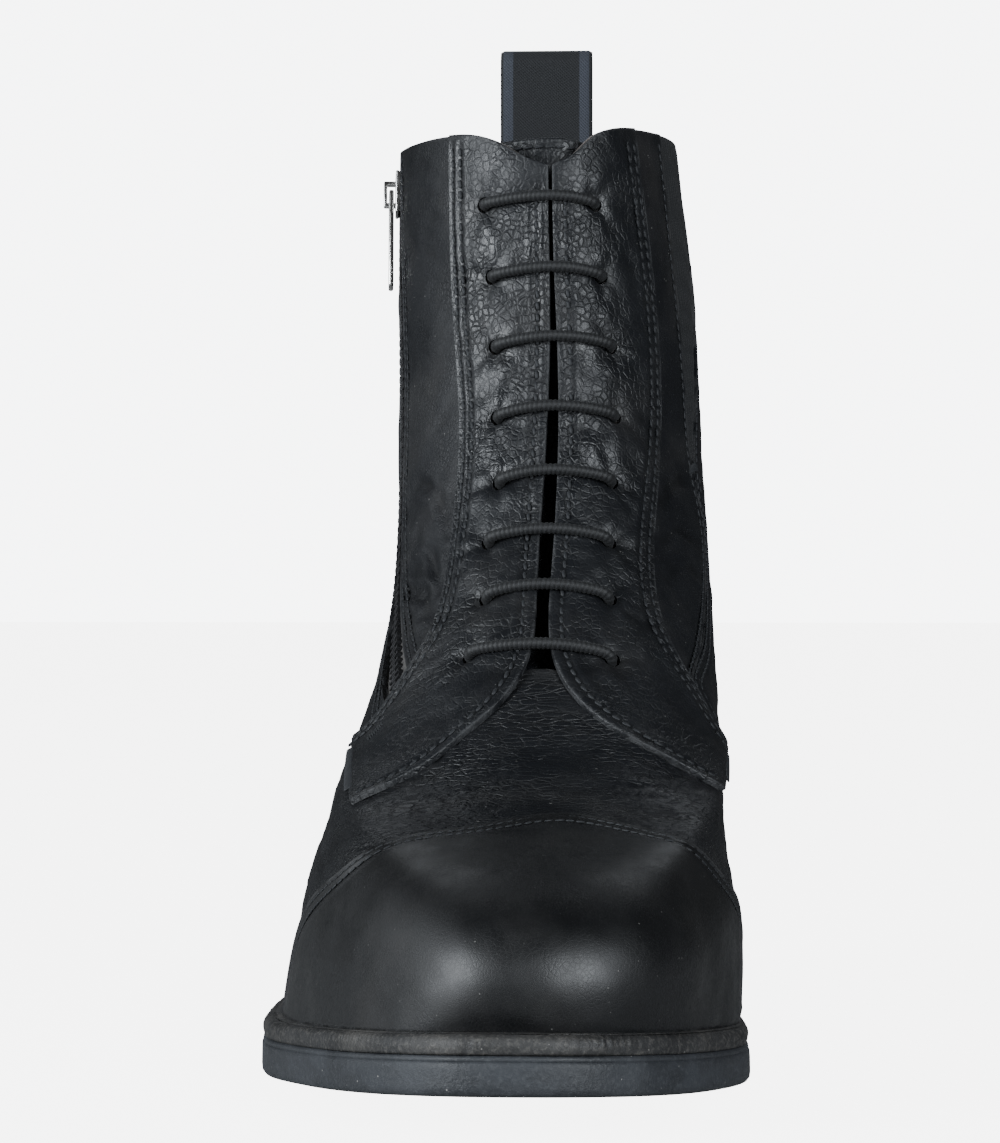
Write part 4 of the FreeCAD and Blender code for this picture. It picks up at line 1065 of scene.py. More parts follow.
@dataclass(frozen=True)
class Cloth:
    """Woven or ribbed textile over the piece's UV in millimetres, with painted highlight on its raised
    threads and painted shade between them.
    """

    name: str
    colour: Colour
    # bright is the colour of the raised threads' painted highlight, and of the loose fuzz.
    bright: Colour
    thread: float = 0.5
    twill: float = 1.0
    stripe: Optional[Colour] = None
    depth: float = 0.18

    def make(self) -> bpy.types.Material:
        """The material."""
        made, g, shader = material(self.name, 0.78, sheen=0.03)
        cloth = g.node("ShaderNodeUVMap", uv_map="cloth").outputs[0]
        weave = g.node("ShaderNodeGroup", node_tree=WEAVE)
        weave.inputs["Thread"].default_value = self.thread
        weave.inputs["Twill"].default_value = self.twill
        g.tree.links.new(cloth, weave.inputs["Cloth"])
        base, bright = self.colour, self.bright
        if self.stripe:
            side = g.node("ShaderNodeSeparateXYZ", {0: cloth}).outputs[0]
            from_middle = g.sum("ABSOLUTE", side)
            share = g.sum("MULTIPLY", g.spread(from_middle, 8.9, 9.2), g.spread(from_middle, 11.9, 11.6))
            base = g.mix(share, self.colour, tuple(c * 0.5 for c in self.stripe))
            bright = g.mix(share, self.bright, self.stripe)
        # Painted highlight and shade: raised threads take the bright colour, the gaps between them the base
        # colour.
        tone = g.mix(weave.outputs["Painted Weave Shade"], base, bright)
        fuzz = g.noise(g.here(), 1100.0, 3.0)
        tone = g.mix(g.spread(fuzz, 0.45, 0.75, 0.0, 0.4), tone, bright)
        g.tree.links.new(tone, shader.inputs["Base Color"])
        height = g.sum("ADD", weave.outputs["Height"], g.sum("MULTIPLY", fuzz, 0.3))
        raise_surface(g, shader, height, self.depth)
        return made


@dataclass(frozen=True)
class Fibre:
    """Felted or brushed material without a direction: board, brushed lining, zip tape."""

    name: str
    colour: Colour
    scale: float = 900.0
    depth: float = 0.1

    def make(self) -> bpy.types.Material:
        """The material."""
        made, g, shader = material(self.name, 0.88, sheen=0.1)
        place = g.here()
        fibre = g.noise(g.around(place, (1.0, 1.0, 0.35)), self.scale, 5.0, 0.7)
        broad = g.noise(place, 70.0, 3.0)
        tone = g.mix(g.spread(fibre, 0.35, 0.7), tuple(c * 0.55 for c in self.colour), self.colour)
        tone = g.mix(g.spread(broad, 0.4, 0.7, 0.0, 0.35), tone, tuple(c * 1.4 for c in self.colour))
        g.tree.links.new(tone, shader.inputs["Base Color"])
        raise_surface(g, shader, fibre, self.depth)
        return made


@dataclass(frozen=True)
class Metal:
    """Plated or sprung metal with fine scratches."""

    name: str
    colour: Colour
    rough: float = 0.22

    def make(self) -> bpy.types.Material:
        """The material."""
        made, g, shader = material(self.name, self.rough, metal=1.0)
        place = g.here()
        scratch = g.noise(g.around(place, (1.0, 1.0, 0.08)), 2500.0, 3.0)
        smear = g.noise(place, 300.0, 3.0)
        tone = g.mix(g.spread(smear, 0.4, 0.7), self.colour, tuple(c * 0.72 for c in self.colour))
        g.tree.links.new(tone, shader.inputs["Base Color"])
        g.tree.links.new(g.spread(scratch, 0.3, 0.7, self.rough * 0.7, self.rough * 1.6),
                         shader.inputs["Roughness"])
        raise_surface(g, shader, scratch, 0.01)
        return made


@dataclass(frozen=True)
class Nylon:
    """Smooth moulded nylon of the zip's teeth."""

    name: str
    colour: Colour

    def make(self) -> bpy.types.Material:
        """The material."""
        made, g, shader = material(self.name, 0.35)
        speckle = g.noise(g.here(), 800.0, 2.0)
        tone = g.mix(g.spread(speckle, 0.4, 0.7), self.colour, tuple(c * 1.8 for c in self.colour))
        g.tree.links.new(tone, shader.inputs["Base Color"])
        raise_surface(g, shader, speckle, 0.02)
        return made


TUMBLED = Leather("tumbled_leather", (0.0056, 0.0062, 0.0074), (0.040, 0.041, 0.043), 0.37, 1.75, 1.0,
                  0.115).make()
VAMP_GRAIN = Leather("flexed_leather", (0.0038, 0.0043, 0.0054), (0.038, 0.038, 0.039), 0.41, 1.7, 1.0, 0.19,
                     stretch=(0.45, 1.0, 1.6)).make()
SIDE_GRAIN = Leather("side_leather", (0.0036, 0.0041, 0.0053), (0.035, 0.035, 0.036), 0.44, 1.3, 0.6, 0.10,
                     dust=0.5).make()
CAP_GRAIN = Leather("polished_leather", (0.0013, 0.0015, 0.0019), (0.033, 0.033, 0.034), 0.46, 1.1, 0.4,
                    0.035, polish=0.22, dust=0.25, pore=0.4).make()
RAW_BROWN = RawEdge("raw_edge", (0.030, 0.017, 0.011)).make()
RAW_BLACK = RawEdge("dyed_edge", (0.008, 0.0078, 0.0076)).make()
LINING_SKIN = Leather("lining_skin", (0.030, 0.025, 0.021), (0.040, 0.033, 0.028), 0.6, 1.1, 0.3, 0.05).make()
BLACK_THREAD = Thread("black_thread", (0.0105, 0.0118, 0.0142)).make()
LACE_YARN = Thread("lace_yarn", (0.0115, 0.0122, 0.0134)).make()
SOLE_RUBBER = Rubber("sole_rubber", (0.0145, 0.016, 0.0185), (0.06, 0.063, 0.068), 0.55, 0.24).make()
WELT_RUBBER = Rubber("welt_strip", (0.011, 0.011, 0.0112), (0.13, 0.122, 0.11), 0.56, 0.24).make()
WEBBING = Cloth("webbing", (0.0007, 0.0008, 0.001), (0.0062, 0.007, 0.0085), 0.85, 1.0,
                (0.026, 0.030, 0.040)).make()
GORE_RIB = Cloth("ribbed_elastic", (0.001, 0.0012, 0.0015), (0.006, 0.0065, 0.0075), 0.8, 0.0).make()
TAPE = Cloth("zip_tape_weave", (0.014, 0.0135, 0.013), (0.07, 0.066, 0.063), 0.7, 1.0).make()
BOARD = Fibre("fibre_board", (0.34, 0.26, 0.18)).make()
BRUSHED = Fibre("brushed_cover", (0.045, 0.045, 0.05)).make()
NICKEL = Metal("nickel_plate", (0.74, 0.73, 0.71)).make()
SPRING = Metal("spring_steel", (0.46, 0.46, 0.47), 0.35).make()
TEETH = Nylon("zip_nylon", (0.018, 0.018, 0.019)).make()


# --- the upper ---------------------------------------------------------------------------------------

def line(start: Place, end: Place) -> Track:
    """Straight run between two places on the form."""
    return Track(start, end)


FOOT = 0.008
SEAT = 0.08


def creases(*lines: Sequence[Place], depth: float = 0.5, width: float = 1.4) -> Relief:
    """Relief of folds that run along lines on the form, each with a soft ridge beside it."""
    def relief(points: Array, places: Array) -> Array:
        total = np.zeros(len(points))
        for number, run in enumerate(lines):
            track = FORM.point(Track(*run).at(np.linspace(0, 1, 30)), 0.6)
            wander = ripple(points, 9.0, 40 + number) * 0.9
            gap = distance_to(points, track) + wander
            ends = np.minimum(1.0, np.linalg.norm(points - track[0], axis=1) / 6)
            ends = ends * np.minimum(1.0, np.linalg.norm(points - track[-1], axis=1) / 6)
            fold = np.exp(-(gap / width) ** 2) - 0.55 * np.exp(-((np.abs(gap) - 2.4 * width) / width) ** 2)
            total -= depth * fold * ends
        return total
    return relief


def flexed(depth: float, low: float, high: float, seed: int, spacing: float = 4.0) -> Relief:
    """Relief of fine folds across the foot, strongest between two levels."""
    def relief(points: Array, places: Array) -> Array:
        folds = ripple(points, spacing, seed, (4.0, 1.3))
        sharp = 1.0 - np.exp(-(folds / 0.35) ** 2) * 1.6
        middle, reach = (low + high) / 2, (high - low) / 2
        share = np.exp(-((places[:, 1] - middle) / reach) ** 2)
        return depth * sharp * share + 0.07 * ripple(points, 3.4, seed + 1)
    return relief


def loose(depth: float, wavelength: float, seed: int) -> Relief:
    """Relief of leather that lies a little uneven."""
    def relief(points: Array, places: Array) -> Array:
        fine = ripple(points, wavelength / 3, seed + 1)
        return depth * ripple(points, wavelength, seed) + depth * 0.35 * fine
    return relief


def pulled(column: int, seed: int) -> Relief:
    """Relief round the lace holes: a dimple, folds towards the lace and a swell between the rows."""
    def relief(points: Array, places: Array) -> Array:
        total = np.zeros(len(points))
        for number, row in enumerate(LACE_ROWS):
            hole = (row[column], row[0])
            centre = FORM.point(hole, CAP_LEATHER)
            away = points - centre
            around, upwards = FORM.slopes(np.array(hole))
            across = away @ (around / np.linalg.norm(around))
            along = away @ (upwards / np.linalg.norm(upwards))
            reach = np.hypot(across, along)
            angle = np.arctan2(along, across)
            folds = np.cos(7 * angle + number) + 0.6 * np.cos(4 * angle + 2.3 * number)
            ring = np.exp(-((reach - 5.5) / 3.2) ** 2)
            total += 0.17 * folds * ring - 0.95 * np.exp(-(reach / 2.7) ** 2)
            total += 0.45 * np.exp(-((along - 8.5) / 5.0) ** 2 - (across / 8.0) ** 2)
        upper_part = np.clip((places[:, 1] - 4.8) / 1.5, 0.0, 1.0)
        return total + (0.05 + 0.13 * upper_part) * ripple(points, 6.5, seed)
    return relief


def both(*reliefs: Relief) -> Relief:
    """Sum of several reliefs."""
    return lambda points, places: sum(relief(points, places) for relief in reliefs)


ZIP_FACING_END, GORE_FACING_END = 1.60, -1.75       # stations at the rim where the facings end
GORE_START, GORE_END = -2.66, -4.6                  # stations at the rim on both sides of the gore
SEAM_GAP = 0.03                                     # hairline between two panels, in stations
BACK_SEAM, BACK_LOW = 8.0, 5.25                     # station and lowest level of the back seam
FIRST_ROW, SECOND_ROW = 1.6, 4.0                    # stitch rows from the edge, in millimetres
RIBS_PER_STATION = 9.0
RIB_HEIGHT = 0.22


def lay(panel: Panel, skin: bpy.types.Material, edge: bpy.types.Material, slot: str, node: str) -> None:
    """Builds a panel, gives it its finishes and puts it in the place of a node."""
    made = panel.build()
    dress(made, skin, edge)
    settle(made, "root", slot, node)


@dataclass
class Upper:
    """The leather pieces of the upper and the threads that join them.

    Attributes:
        cell: size of a face on the pieces seen from the front.
        coarse: size of a face on the pieces seen from the sides and the back.
        hole: diameter of a punched lace hole.
    """

    cell: float = 0.85
    coarse: float = 1.3
    hole: float = 3.9
    sewn_rows: dict[str, list[Seam]] = field(default_factory=dict)

    def facings(self) -> None:
        """Two eyelet facings with a double outer row, an inner row and punched holes."""
        for side, inner, outer, ends, hole_column, way in (
                ("zip_side", ZIP_FACING_INNER, ZIP_FACING_EDGE, (0.03, ZIP_FACING_END), 1, 1),
                ("gore_side", GORE_FACING_INNER, GORE_FACING_EDGE, (-0.03, GORE_FACING_END), 2, -1)):
            near = Track(rim_place(ends[0]), *inner)
            far = Track(rim_place(ends[1]), *outer)
            top, wing = rim(*ends, 4), line(inner[-1], outer[-1])
            seams = [Seam(far, way * FIRST_ROW, CAP_LEATHER, 2.6, (0.012, 0.985), 1.0),
                     Seam(far, way * SECOND_ROW, CAP_LEATHER, 2.6, (0.012, 0.975), 1.0),
                     Seam(near, way * -2.9, CAP_LEATHER, 2.8, (0.03, 0.975), 0.8)]
            panel = Panel(f"{side}_facing_leather", (top, far, wing, near), SEAT, CAP_LEATHER + 0.25, seams,
                          both(pulled(hole_column, 5 + hole_column), loose(0.12, 15.0, 21)),
                          self.cell, 0.55)
            made = panel.build()
            self.punch(made, hole_column)
            dress(made, TUMBLED, RAW_BROWN)
            settle(made, "root", "upper_leather", f"{side}_facing")
            self.sewn_rows.setdefault(side + "_facing", []).extend(
                Seam(s.line, s.aside, CAP_LEATHER + 0.18, s.pitch, s.span, s.thread) for s in seams)

    def punch(self, obj: bpy.types.Object, column: int) -> None:
        """Cuts the lace holes through a facing."""
        drills = []
        for row in LACE_ROWS:
            place = np.array((row[column], row[0]))
            centre, way = FORM.point(place, 0.8) * MM, FORM.normal(place)
            deselect()
            bpy.ops.mesh.primitive_cylinder_add(vertices=24, radius=self.hole / 2 * MM, depth=9 * MM)
            drill = bpy.context.object
            turn = np.array(way)
            level = math.atan2(math.hypot(turn[0], turn[1]), turn[2])
            drill.rotation_euler = (0.0, level, math.atan2(turn[1], turn[0]))
            drill.location = centre
            drills.append(drill)
        deselect()
        for drill in drills:
            drill.select_set(True)
        bpy.context.view_layer.objects.active = drills[0]
        bpy.ops.object.join()
        cutter = bpy.context.object
        modify(obj, "BOOLEAN", operation="DIFFERENCE", object=cutter, solver="EXACT")
        bpy.data.objects.remove(cutter)
        smooth(obj, 50)

    def front(self) -> None:
        """Polished toe cap with its double seam, and the flexed vamp behind it."""
        seam = Track(*CAP_SEAM)
        rows = [Seam(seam, -1.3, CAP_LEATHER, 2.3, (0.01, 0.99), 0.62),
                Seam(seam, -SECOND_ROW, CAP_LEATHER, 2.3, (0.01, 0.99), 0.62)]
        cap = Panel("toe_cap_leather",
                    (line(CAP_SEAM_ZIP[0], CAP_SEAM_GORE[0]), Track(*CAP_SEAM_GORE), Track(*CAP_SEAM_TOP),
                     Track(*CAP_SEAM_ZIP)), SEAT, CAP_LEATHER, rows, loose(0.07, 22.0, 3), self.cell, 0.5)
        lay(cap, CAP_GRAIN, RAW_BLACK, "cap_leather", "toe_cap")
        self.sewn_rows["toe_cap"] = [Seam(s.line, s.aside, CAP_LEATHER - 0.02, s.pitch, s.span, s.thread)
                                     for s in rows]
        under = shrunk(CAP_SEAM_ZIP + CAP_SEAM_TOP[1:-1] + CAP_SEAM_GORE[::-1], 0.9)
        vamp = Panel("vamp_leather", (Track(*under), line(under[-1], VAMP_BACK[-1]), Track(*VAMP_BACK),
                                      line(under[0], VAMP_BACK[0])), -LEATHER, 0.0, (),
                     both(flexed(0.30, 4.2, 6.0, 8, 4.2), loose(0.14, 14.0, 9)), self.cell, 0.4)
        lay(vamp, VAMP_GRAIN, RAW_BLACK, "upper_leather", "vamp")

    def zip_side(self) -> None:
        """Leather in front of and behind the zip, sewn down beside it."""
        half = ZIP_SLOT / 2
        front_edge, rear_edge = ZIP.edge(-half, 0.93), ZIP.edge(half, 0.97)
        hidden = Track(rim_place(ZIP_FACING_END - UNDERLAP), *shifted(ZIP_FACING_EDGE[:7], -UNDERLAP))
        folds = creases([(1.7, 6.9), (2.2, 7.2), (2.8, 7.15)], [(1.75, 6.55), (2.3, 6.7), (2.9, 6.5)],
                        [(1.6, 7.5), (2.1, 7.8), (2.7, 7.7)], depth=0.55)
        rows = [Seam(front_edge, FIRST_ROW, 0.0, 2.5, (0.02, 0.99), 0.8),
                Seam(front_edge, SECOND_ROW, 0.0, 2.5, (0.02, 0.98), 0.8)]
        fore = Panel("zip_side_front_leather",
                     (rim(ZIP_FACING_END - UNDERLAP, front_edge.at(0)[0], 4), front_edge,
                      line(tuple(hidden.at(1)), tuple(front_edge.at(1))), hidden), -LEATHER, 0.0, rows,
                     both(folds, loose(0.16, 16.0, 11)), 1.0, 0.5)
        lay(fore, SIDE_GRAIN, RAW_BLACK, "upper_leather", "zip_side_front_panel")
        counter = COUNTER_TOP[:4]
        lower = Track((3.9, 3.42), *[(s, l + 0.05) for s, l in counter[1:]])
        rear_front = Track(*rear_edge.at(np.arange(10) / 9), (3.62, 4.05), (3.9, 3.42))
        rear_rows = [Seam(rear_edge, -FIRST_ROW, 0.0, 2.5, (0.02, 0.97), 0.8),
                     Seam(rear_edge, -SECOND_ROW, 0.0, 2.5, (0.02, 0.97), 0.8)]
        aft = Panel("zip_side_rear_leather",
                    (rim(rear_edge.at(0)[0], BACK_SEAM, 8),
                     line(rim_place(BACK_SEAM), (BACK_SEAM, BACK_LOW)), lower, rear_front),
                    -LEATHER, 0.0, rear_rows,
                    both(loose(0.18, 20.0, 13), creases([(5.0, 6.3), (6.0, 6.5), (7.0, 6.4)], depth=0.35)),
                    self.coarse, 0.5)
        lay(aft, SIDE_GRAIN, RAW_BLACK, "upper_leather", "zip_side_rear_panel")
        self.sewn_rows["zip"] = rows + rear_rows

    def gore_side(self) -> None:
        """Front panel, ribbed elastic gore and rear panel of the other side."""
        hidden = Track(rim_place(UNDERLAP + GORE_FACING_END), *shifted(GORE_FACING_EDGE[:7], UNDERLAP))
        front = Track(rim_place(GORE_START), *GORE_FRONT, *ANKLE_SEAM)
        rows = [Seam(front, -1.5, 0.0, 2.5, (0.01, 0.99), 0.8)]
        folds = creases([(-1.85, 7.55), (-2.3, 7.8), (-2.8, 7.7)], [(-1.8, 7.25), (-2.3, 7.35), (-2.9, 7.1)],
                        [(-1.9, 6.95), (-2.4, 6.95), (-2.9, 6.75)], depth=0.55)
        fore = Panel("gore_side_front_leather",
                     (rim(UNDERLAP + GORE_FACING_END, GORE_START, 4), front,
                      line(tuple(hidden.at(1)), ANKLE_SEAM[-1]), hidden), -LEATHER, 0.0, rows,
                     both(folds, loose(0.13, 16.0, 15)), 1.0, 0.45)
        lay(fore, SIDE_GRAIN, RAW_BLACK, "upper_leather", "gore_side_front_panel")
        rear_front = Track(rim_place(GORE_END - SEAM_GAP), *shifted(GORE_BACK, -SEAM_GAP),
                           *shifted(ANKLE_SEAM, -0.02), (-2.9, 5.0), (-3.5, 4.1), (-3.85, 3.42))
        counter = [(station - STATIONS, level + 0.05) for station, level in COUNTER_TOP[3:-1]]
        lower = Track((-3.85, 3.42), *reversed(counter))
        rear_rows = [Seam(rear_front, 1.5, 0.0, 2.5, (0.01, 0.98), 0.8),
                     Seam(rear_front, 3.8, 0.0, 2.5, (0.35, 0.98), 0.8)]
        aft = Panel("gore_side_rear_leather",
                    (rim(GORE_END - SEAM_GAP, -BACK_SEAM, 8),
                     line(rim_place(-BACK_SEAM), (-BACK_SEAM, BACK_LOW)), lower, rear_front),
                    -LEATHER, 0.0, rear_rows,
                    both(loose(0.18, 20.0, 17), creases([(-5.0, 6.3), (-6.0, 6.5), (-7.0, 6.4)], depth=0.35)),
                    self.coarse, 0.45)
        lay(aft, SIDE_GRAIN, RAW_BLACK, "upper_leather", "gore_side_rear_panel")
        self.sewn_rows["gore"] = rows + rear_rows
        self.gore()

    def gore(self) -> None:
        """Elastic between the two panels, with ribs along the shaft."""
        def ribs(points: Array, places: Array) -> Array:
            return RIB_HEIGHT * np.sin(places[:, 0] * 2 * math.pi * RIBS_PER_STATION)
        piece = Panel("gore_elastic",
                      (rim(GORE_START - SEAM_GAP, GORE_END, 6), Track(rim_place(GORE_END), *GORE_BACK),
                       line(shifted(GORE_FRONT, -SEAM_GAP)[-1], GORE_BACK[-1]),
                       Track(rim_place(GORE_START - SEAM_GAP), *shifted(GORE_FRONT, -SEAM_GAP))),
                      -LEATHER, -0.45, (), ribs, 0.55, 0.15)
        made = piece.build()
        self.cloth_uv(made)
        dress(made, GORE_RIB, GORE_RIB)
        settle(made, "root", "elastic", "elastic_gore")

    def cloth_uv(self, obj: bpy.types.Object) -> None:
        """UV in millimetres: across the ribs, then up the shaft."""
        points = vertices_of(obj.data) / MM
        cloth_layer(obj.data, (points - points.mean(axis=0))[:, 1:])

    def back(self) -> None:
        """Heel counter with a double top row, and the strap over the back seam."""
        foot_zip, foot_gore = (3.97, FOOT), (12.12, FOOT)
        top = Track(*COUNTER_TOP)
        rows = [Seam(top, FIRST_ROW, 0.0, 2.6, (0.01, 0.99), 0.8),
                Seam(top, SECOND_ROW, 0.0, 2.6, (0.01, 0.99), 0.8)]
        counter = Panel("heel_counter_leather",
                        (line(foot_zip, foot_gore), Track(foot_gore, (12.16, 1.6), (12.2, 3.35)), top,
                         Track(foot_zip, (3.94, 1.6), (3.87, 3.35))), -LEATHER, 0.0, rows,
                        loose(0.08, 24.0, 19), self.coarse, 0.5)
        lay(counter, CAP_GRAIN, RAW_BLACK, "cap_leather", "heel_counter")
        left = Track((7.62, 4.6), (7.64, 7.5), rim_place(7.64))
        right = Track((8.38, 4.6), (8.36, 7.5), rim_place(8.36))
        strap_rows = [Seam(left, 1.4, 1.0, 2.6, (0.02, 0.98), 0.65),
                      Seam(right, -1.4, 1.0, 2.6, (0.02, 0.98), 0.65)]
        strap = Panel("back_strap_leather",
                      (line((7.62, 4.6), (8.38, 4.6)), right, line(rim_place(7.64), rim_place(8.36)), left),
                      SEAT, 1.0, strap_rows, loose(0.06, 12.0, 23), 1.0, 0.4)
        lay(strap, SIDE_GRAIN, RAW_BLACK, "cap_leather", "back_strap")
        self.sewn_rows["heel"] = rows
        self.sewn_rows["back_strap"] = strap_rows

    def threads(self) -> None:
        """All stitch rows, and the bar tacks at the ends of the wings."""
        for label, seams in self.sewn_rows.items():
            made = sewn(f"{label}_stitches", seams)
            dress(made, BLACK_THREAD)
            settle(made, "root", "upper_leather")
        self.bar_tacks()

    def bar_tacks(self) -> None:
        """Short dense rows of thread that lock the corners."""
        for name, start, end, lift in (
                ("zip_side_wing_tack", (2.78, 3.62), (3.30, 4.22), CAP_LEATHER + 0.2),
                ("gore_side_wing_tack", (-2.98, 3.85), (-3.2, 4.28), CAP_LEATHER + 0.2),
                ("zip_foot_tack", (2.55, 5.15), (2.85, 4.75), CAP_LEATHER + 0.2),
                ("gore_point_tack", (-2.74, 7.86), (-3.06, 7.86), 0.1)):
            places = line(start, end).at(np.linspace(0, 1, 40))
            spots, ahead = even_steps(FORM.point(places, lift), 0.62)
            up = np.repeat(FORM.normal(np.array(start))[None], len(spots), axis=0)
            across = np.cross(up, ahead)
            made = bars(name, spots, across, up, 2.3, 0.62, 0.7)
            dress(made, BLACK_THREAD)
            settle(made, "root", "upper_leather")


# --- lace, tongue and pull loop ----------------------------------------------------------------------

@dataclass
class Lace:
    """One elastic lace through both facings, wound with yarn.

    Attributes:
        diameter: thickness of the lace.
        front: lift of the lace in front of the facings.
        behind: lift of the lace behind them.
        tail: levels that each end runs on behind its facing.
        pitch: distance between two turns of the yarn.
    """

    diameter: float = 2.8
    front: float = 3.1
    behind: float = -3.1
    tail: float = 0.33
    pitch: float = 1.1

    def route(self) -> Array:
        """Points of the lace: across each row in front, up to the next one behind."""
        rows = LACE_ROWS[::-1]
        route = [(rows[0][1], rows[0][0] + self.tail, self.behind)]
        for index, (level, zip_station, gore_station) in enumerate(rows):
            bow = 0.15 - 0.012 * index
            stations = (zip_station, zip_station * 0.5, 0.0, gore_station * 0.5, gore_station)
            rises = (0.0, bow * 0.75, bow, bow * 0.75, 0.0)
            bar = [(s, level + rise, self.front) for s, rise in zip(stations, rises)]
            passage = [(zip_station, level, self.behind), *bar, (gore_station, level, self.behind)]
            if index % 2:
                passage.reverse()
            route += passage
        route.append((rows[-1][1], rows[-1][0] - self.tail, self.behind))
        table = np.array(route)
        return FORM.point(table[:, :2], table[:, 2])

    def centre_line(self) -> Array:
        """Even points along the smooth curve that the route's points control."""
        curve = bpy.data.curves.new("lace_route", "CURVE")
        curve.dimensions = "3D"
        curve.resolution_u = 16
        spline = curve.splines.new("NURBS")
        route = self.route() * MM
        spline.points.add(len(route) - 1)
        for point, place in zip(spline.points, route):
            point.co = (*place, 1.0)
        spline.order_u = 3
        spline.use_endpoint_u = True
        holder = bpy.data.objects.new("lace_route", curve)
        bpy.context.scene.collection.objects.link(holder)
        run = bpy.data.meshes.new_from_object(holder.evaluated_get(bpy.context.evaluated_depsgraph_get()))
        points = np.array([vertex.co[:] for vertex in run.vertices]) / MM
        bpy.data.objects.remove(holder)
        lengths = run_lengths(points)
        count = int(lengths[-1] / (self.pitch / 4))
        return at_lengths(points, lengths, np.linspace(0, lengths[-1], count + 1))

    def build(self) -> None:
        """Tube with slanted ribs of yarn, closed at both ends."""
        centre = self.centre_line()
        ahead = np.gradient(centre, axis=0)
        ahead /= np.linalg.norm(ahead, axis=1, keepdims=True)
        side = np.zeros_like(centre)
        side[0] = np.cross(ahead[0], (0.0, 0.0, 1.0))
        side[0] /= np.linalg.norm(side[0])
        for index in range(1, len(centre)):
            carried = side[index - 1] - ahead[index] * (side[index - 1] @ ahead[index])
            side[index] = carried / np.linalg.norm(carried)
        other = np.cross(ahead, side)
        sides = 12
        angle = np.linspace(0, 2 * math.pi, sides, endpoint=False)
        step = np.arange(len(centre))[:, None]
        rib = 0.5 + 0.5 * np.cos(2 * math.pi * step / 4 + angle[None, :])
        radius = self.diameter / 2 * (0.86 + 0.14 * rib)
        ring = (centre[:, None] + radius[..., None] * (np.cos(angle)[None, :, None] * side[:, None]
                                                       + np.sin(angle)[None, :, None] * other[:, None]))
        count = len(centre)
        index = np.arange(count * sides).reshape(count, sides)
        after = np.roll(index, -1, axis=1)
        quads = np.stack((index[:-1], after[:-1], after[1:], index[1:]), axis=-1).reshape(-1, 4)
        faces = quads.tolist() + [index[0].tolist()[::-1], index[-1].tolist()]
        made = mesh_object("elastic_lace_cord", ring.reshape(-1, 3), faces)
        # The fold attribute marks the grooves between the turns of yarn, which the yarn's finish darkens as
        # painted shade.
        shade = made.data.attributes.new("fold", "FLOAT", "POINT")
        shade.data.foreach_set("value", (1.0 - rib).astype(np.float32).ravel())
        outward(made)
        smooth(made, 60)
        dress(made, LACE_YARN)
        settle(made, "root", "lace", "elastic_lace")


@dataclass
class Tongue:
    """Padded tongue behind the lace, inflated as cloth and sewn along its top edge.

    Attributes:
        thick: thickness of the pad.
        depth: lift of its outer face.
        cap: the most that a point may move.
    """

    thick: float = 3.0
    depth: float = -5.1
    cap: float = 0.9

    def sides(self) -> tuple[Track, Track, Track, Track]:
        """Foot, gore side, top and zip side edges."""
        top = [(s, level_at_height(s, 217.2 - 0.9 * s ** 2)) for s in (1.7, 0.9, 0.0, -0.9, -1.7)]
        return (Track((1.3, 5.5), (0.0, 5.65), (-1.3, 5.5)),
                Track((-1.3, 5.5), (-1.38, 7.5), (-1.55, 9.2), top[-1]), Track(*top),
                Track((1.3, 5.5), (1.38, 7.5), (1.55, 9.2), top[0]))

    def build(self) -> None:
        """Swells a thin closed shell, then gives it its stitched edge."""
        panel = Panel("tongue_pad", self.sides(), self.depth - self.thick + 0.5, self.depth - 0.4,
                      cell=2.2, roll=0.6)
        made = panel.build()
        self.inflate(made, vertices_of(made.data))
        modify(made, "SUBSURF", levels=1, render_levels=1)
        dress(made, TUMBLED, TUMBLED)
        settle(made, "root", "padding", "tongue")
        top, edge = self.sides()[2], self.depth - 0.02
        rows = sewn("tongue_stitches", [Seam(top, -2.4, edge, 2.6, (0.03, 0.97), 0.7)])
        dress(rows, BLACK_THREAD)
        settle(rows, "root", "padding")

    def inflate(self, made: bpy.types.Object, rest: Array) -> None:
        """Cloth with pressure inside and a held edge, no point moving further than the cap."""
        edge = np.zeros(len(rest), np.float32)
        made.data.attributes["edge"].data.foreach_get("value", edge)
        held = made.vertex_groups.new(name="held")
        held.add([int(i) for i in np.nonzero(edge < 0.35)[0]], 1.0, "REPLACE")
        pick(made)
        bpy.ops.object.modifier_add(type="CLOTH")
        cloth = made.modifiers[-1]
        cloth.settings.use_pressure = True
        cloth.settings.uniform_pressure_force = 4.0
        cloth.settings.effector_weights.gravity = 0.0
        cloth.settings.vertex_group_mass = "held"
        cloth.settings.quality = 4
        cloth.point_cache.frame_start = 1
        cloth.point_cache.frame_end = 14
        scene = bpy.context.scene
        for frame_number in range(1, 15):
            scene.frame_set(frame_number)
        bpy.ops.object.modifier_apply(modifier=cloth.name)
        scene.frame_set(1)
        step = vertices_of(made.data) - rest
        size = np.linalg.norm(step, axis=1, keepdims=True)
        step *= np.minimum(1.0, self.cap * MM / np.maximum(size, 1e-9))
        made.data.vertices.foreach_set("co", (rest + step).ravel())
        made.data.update()


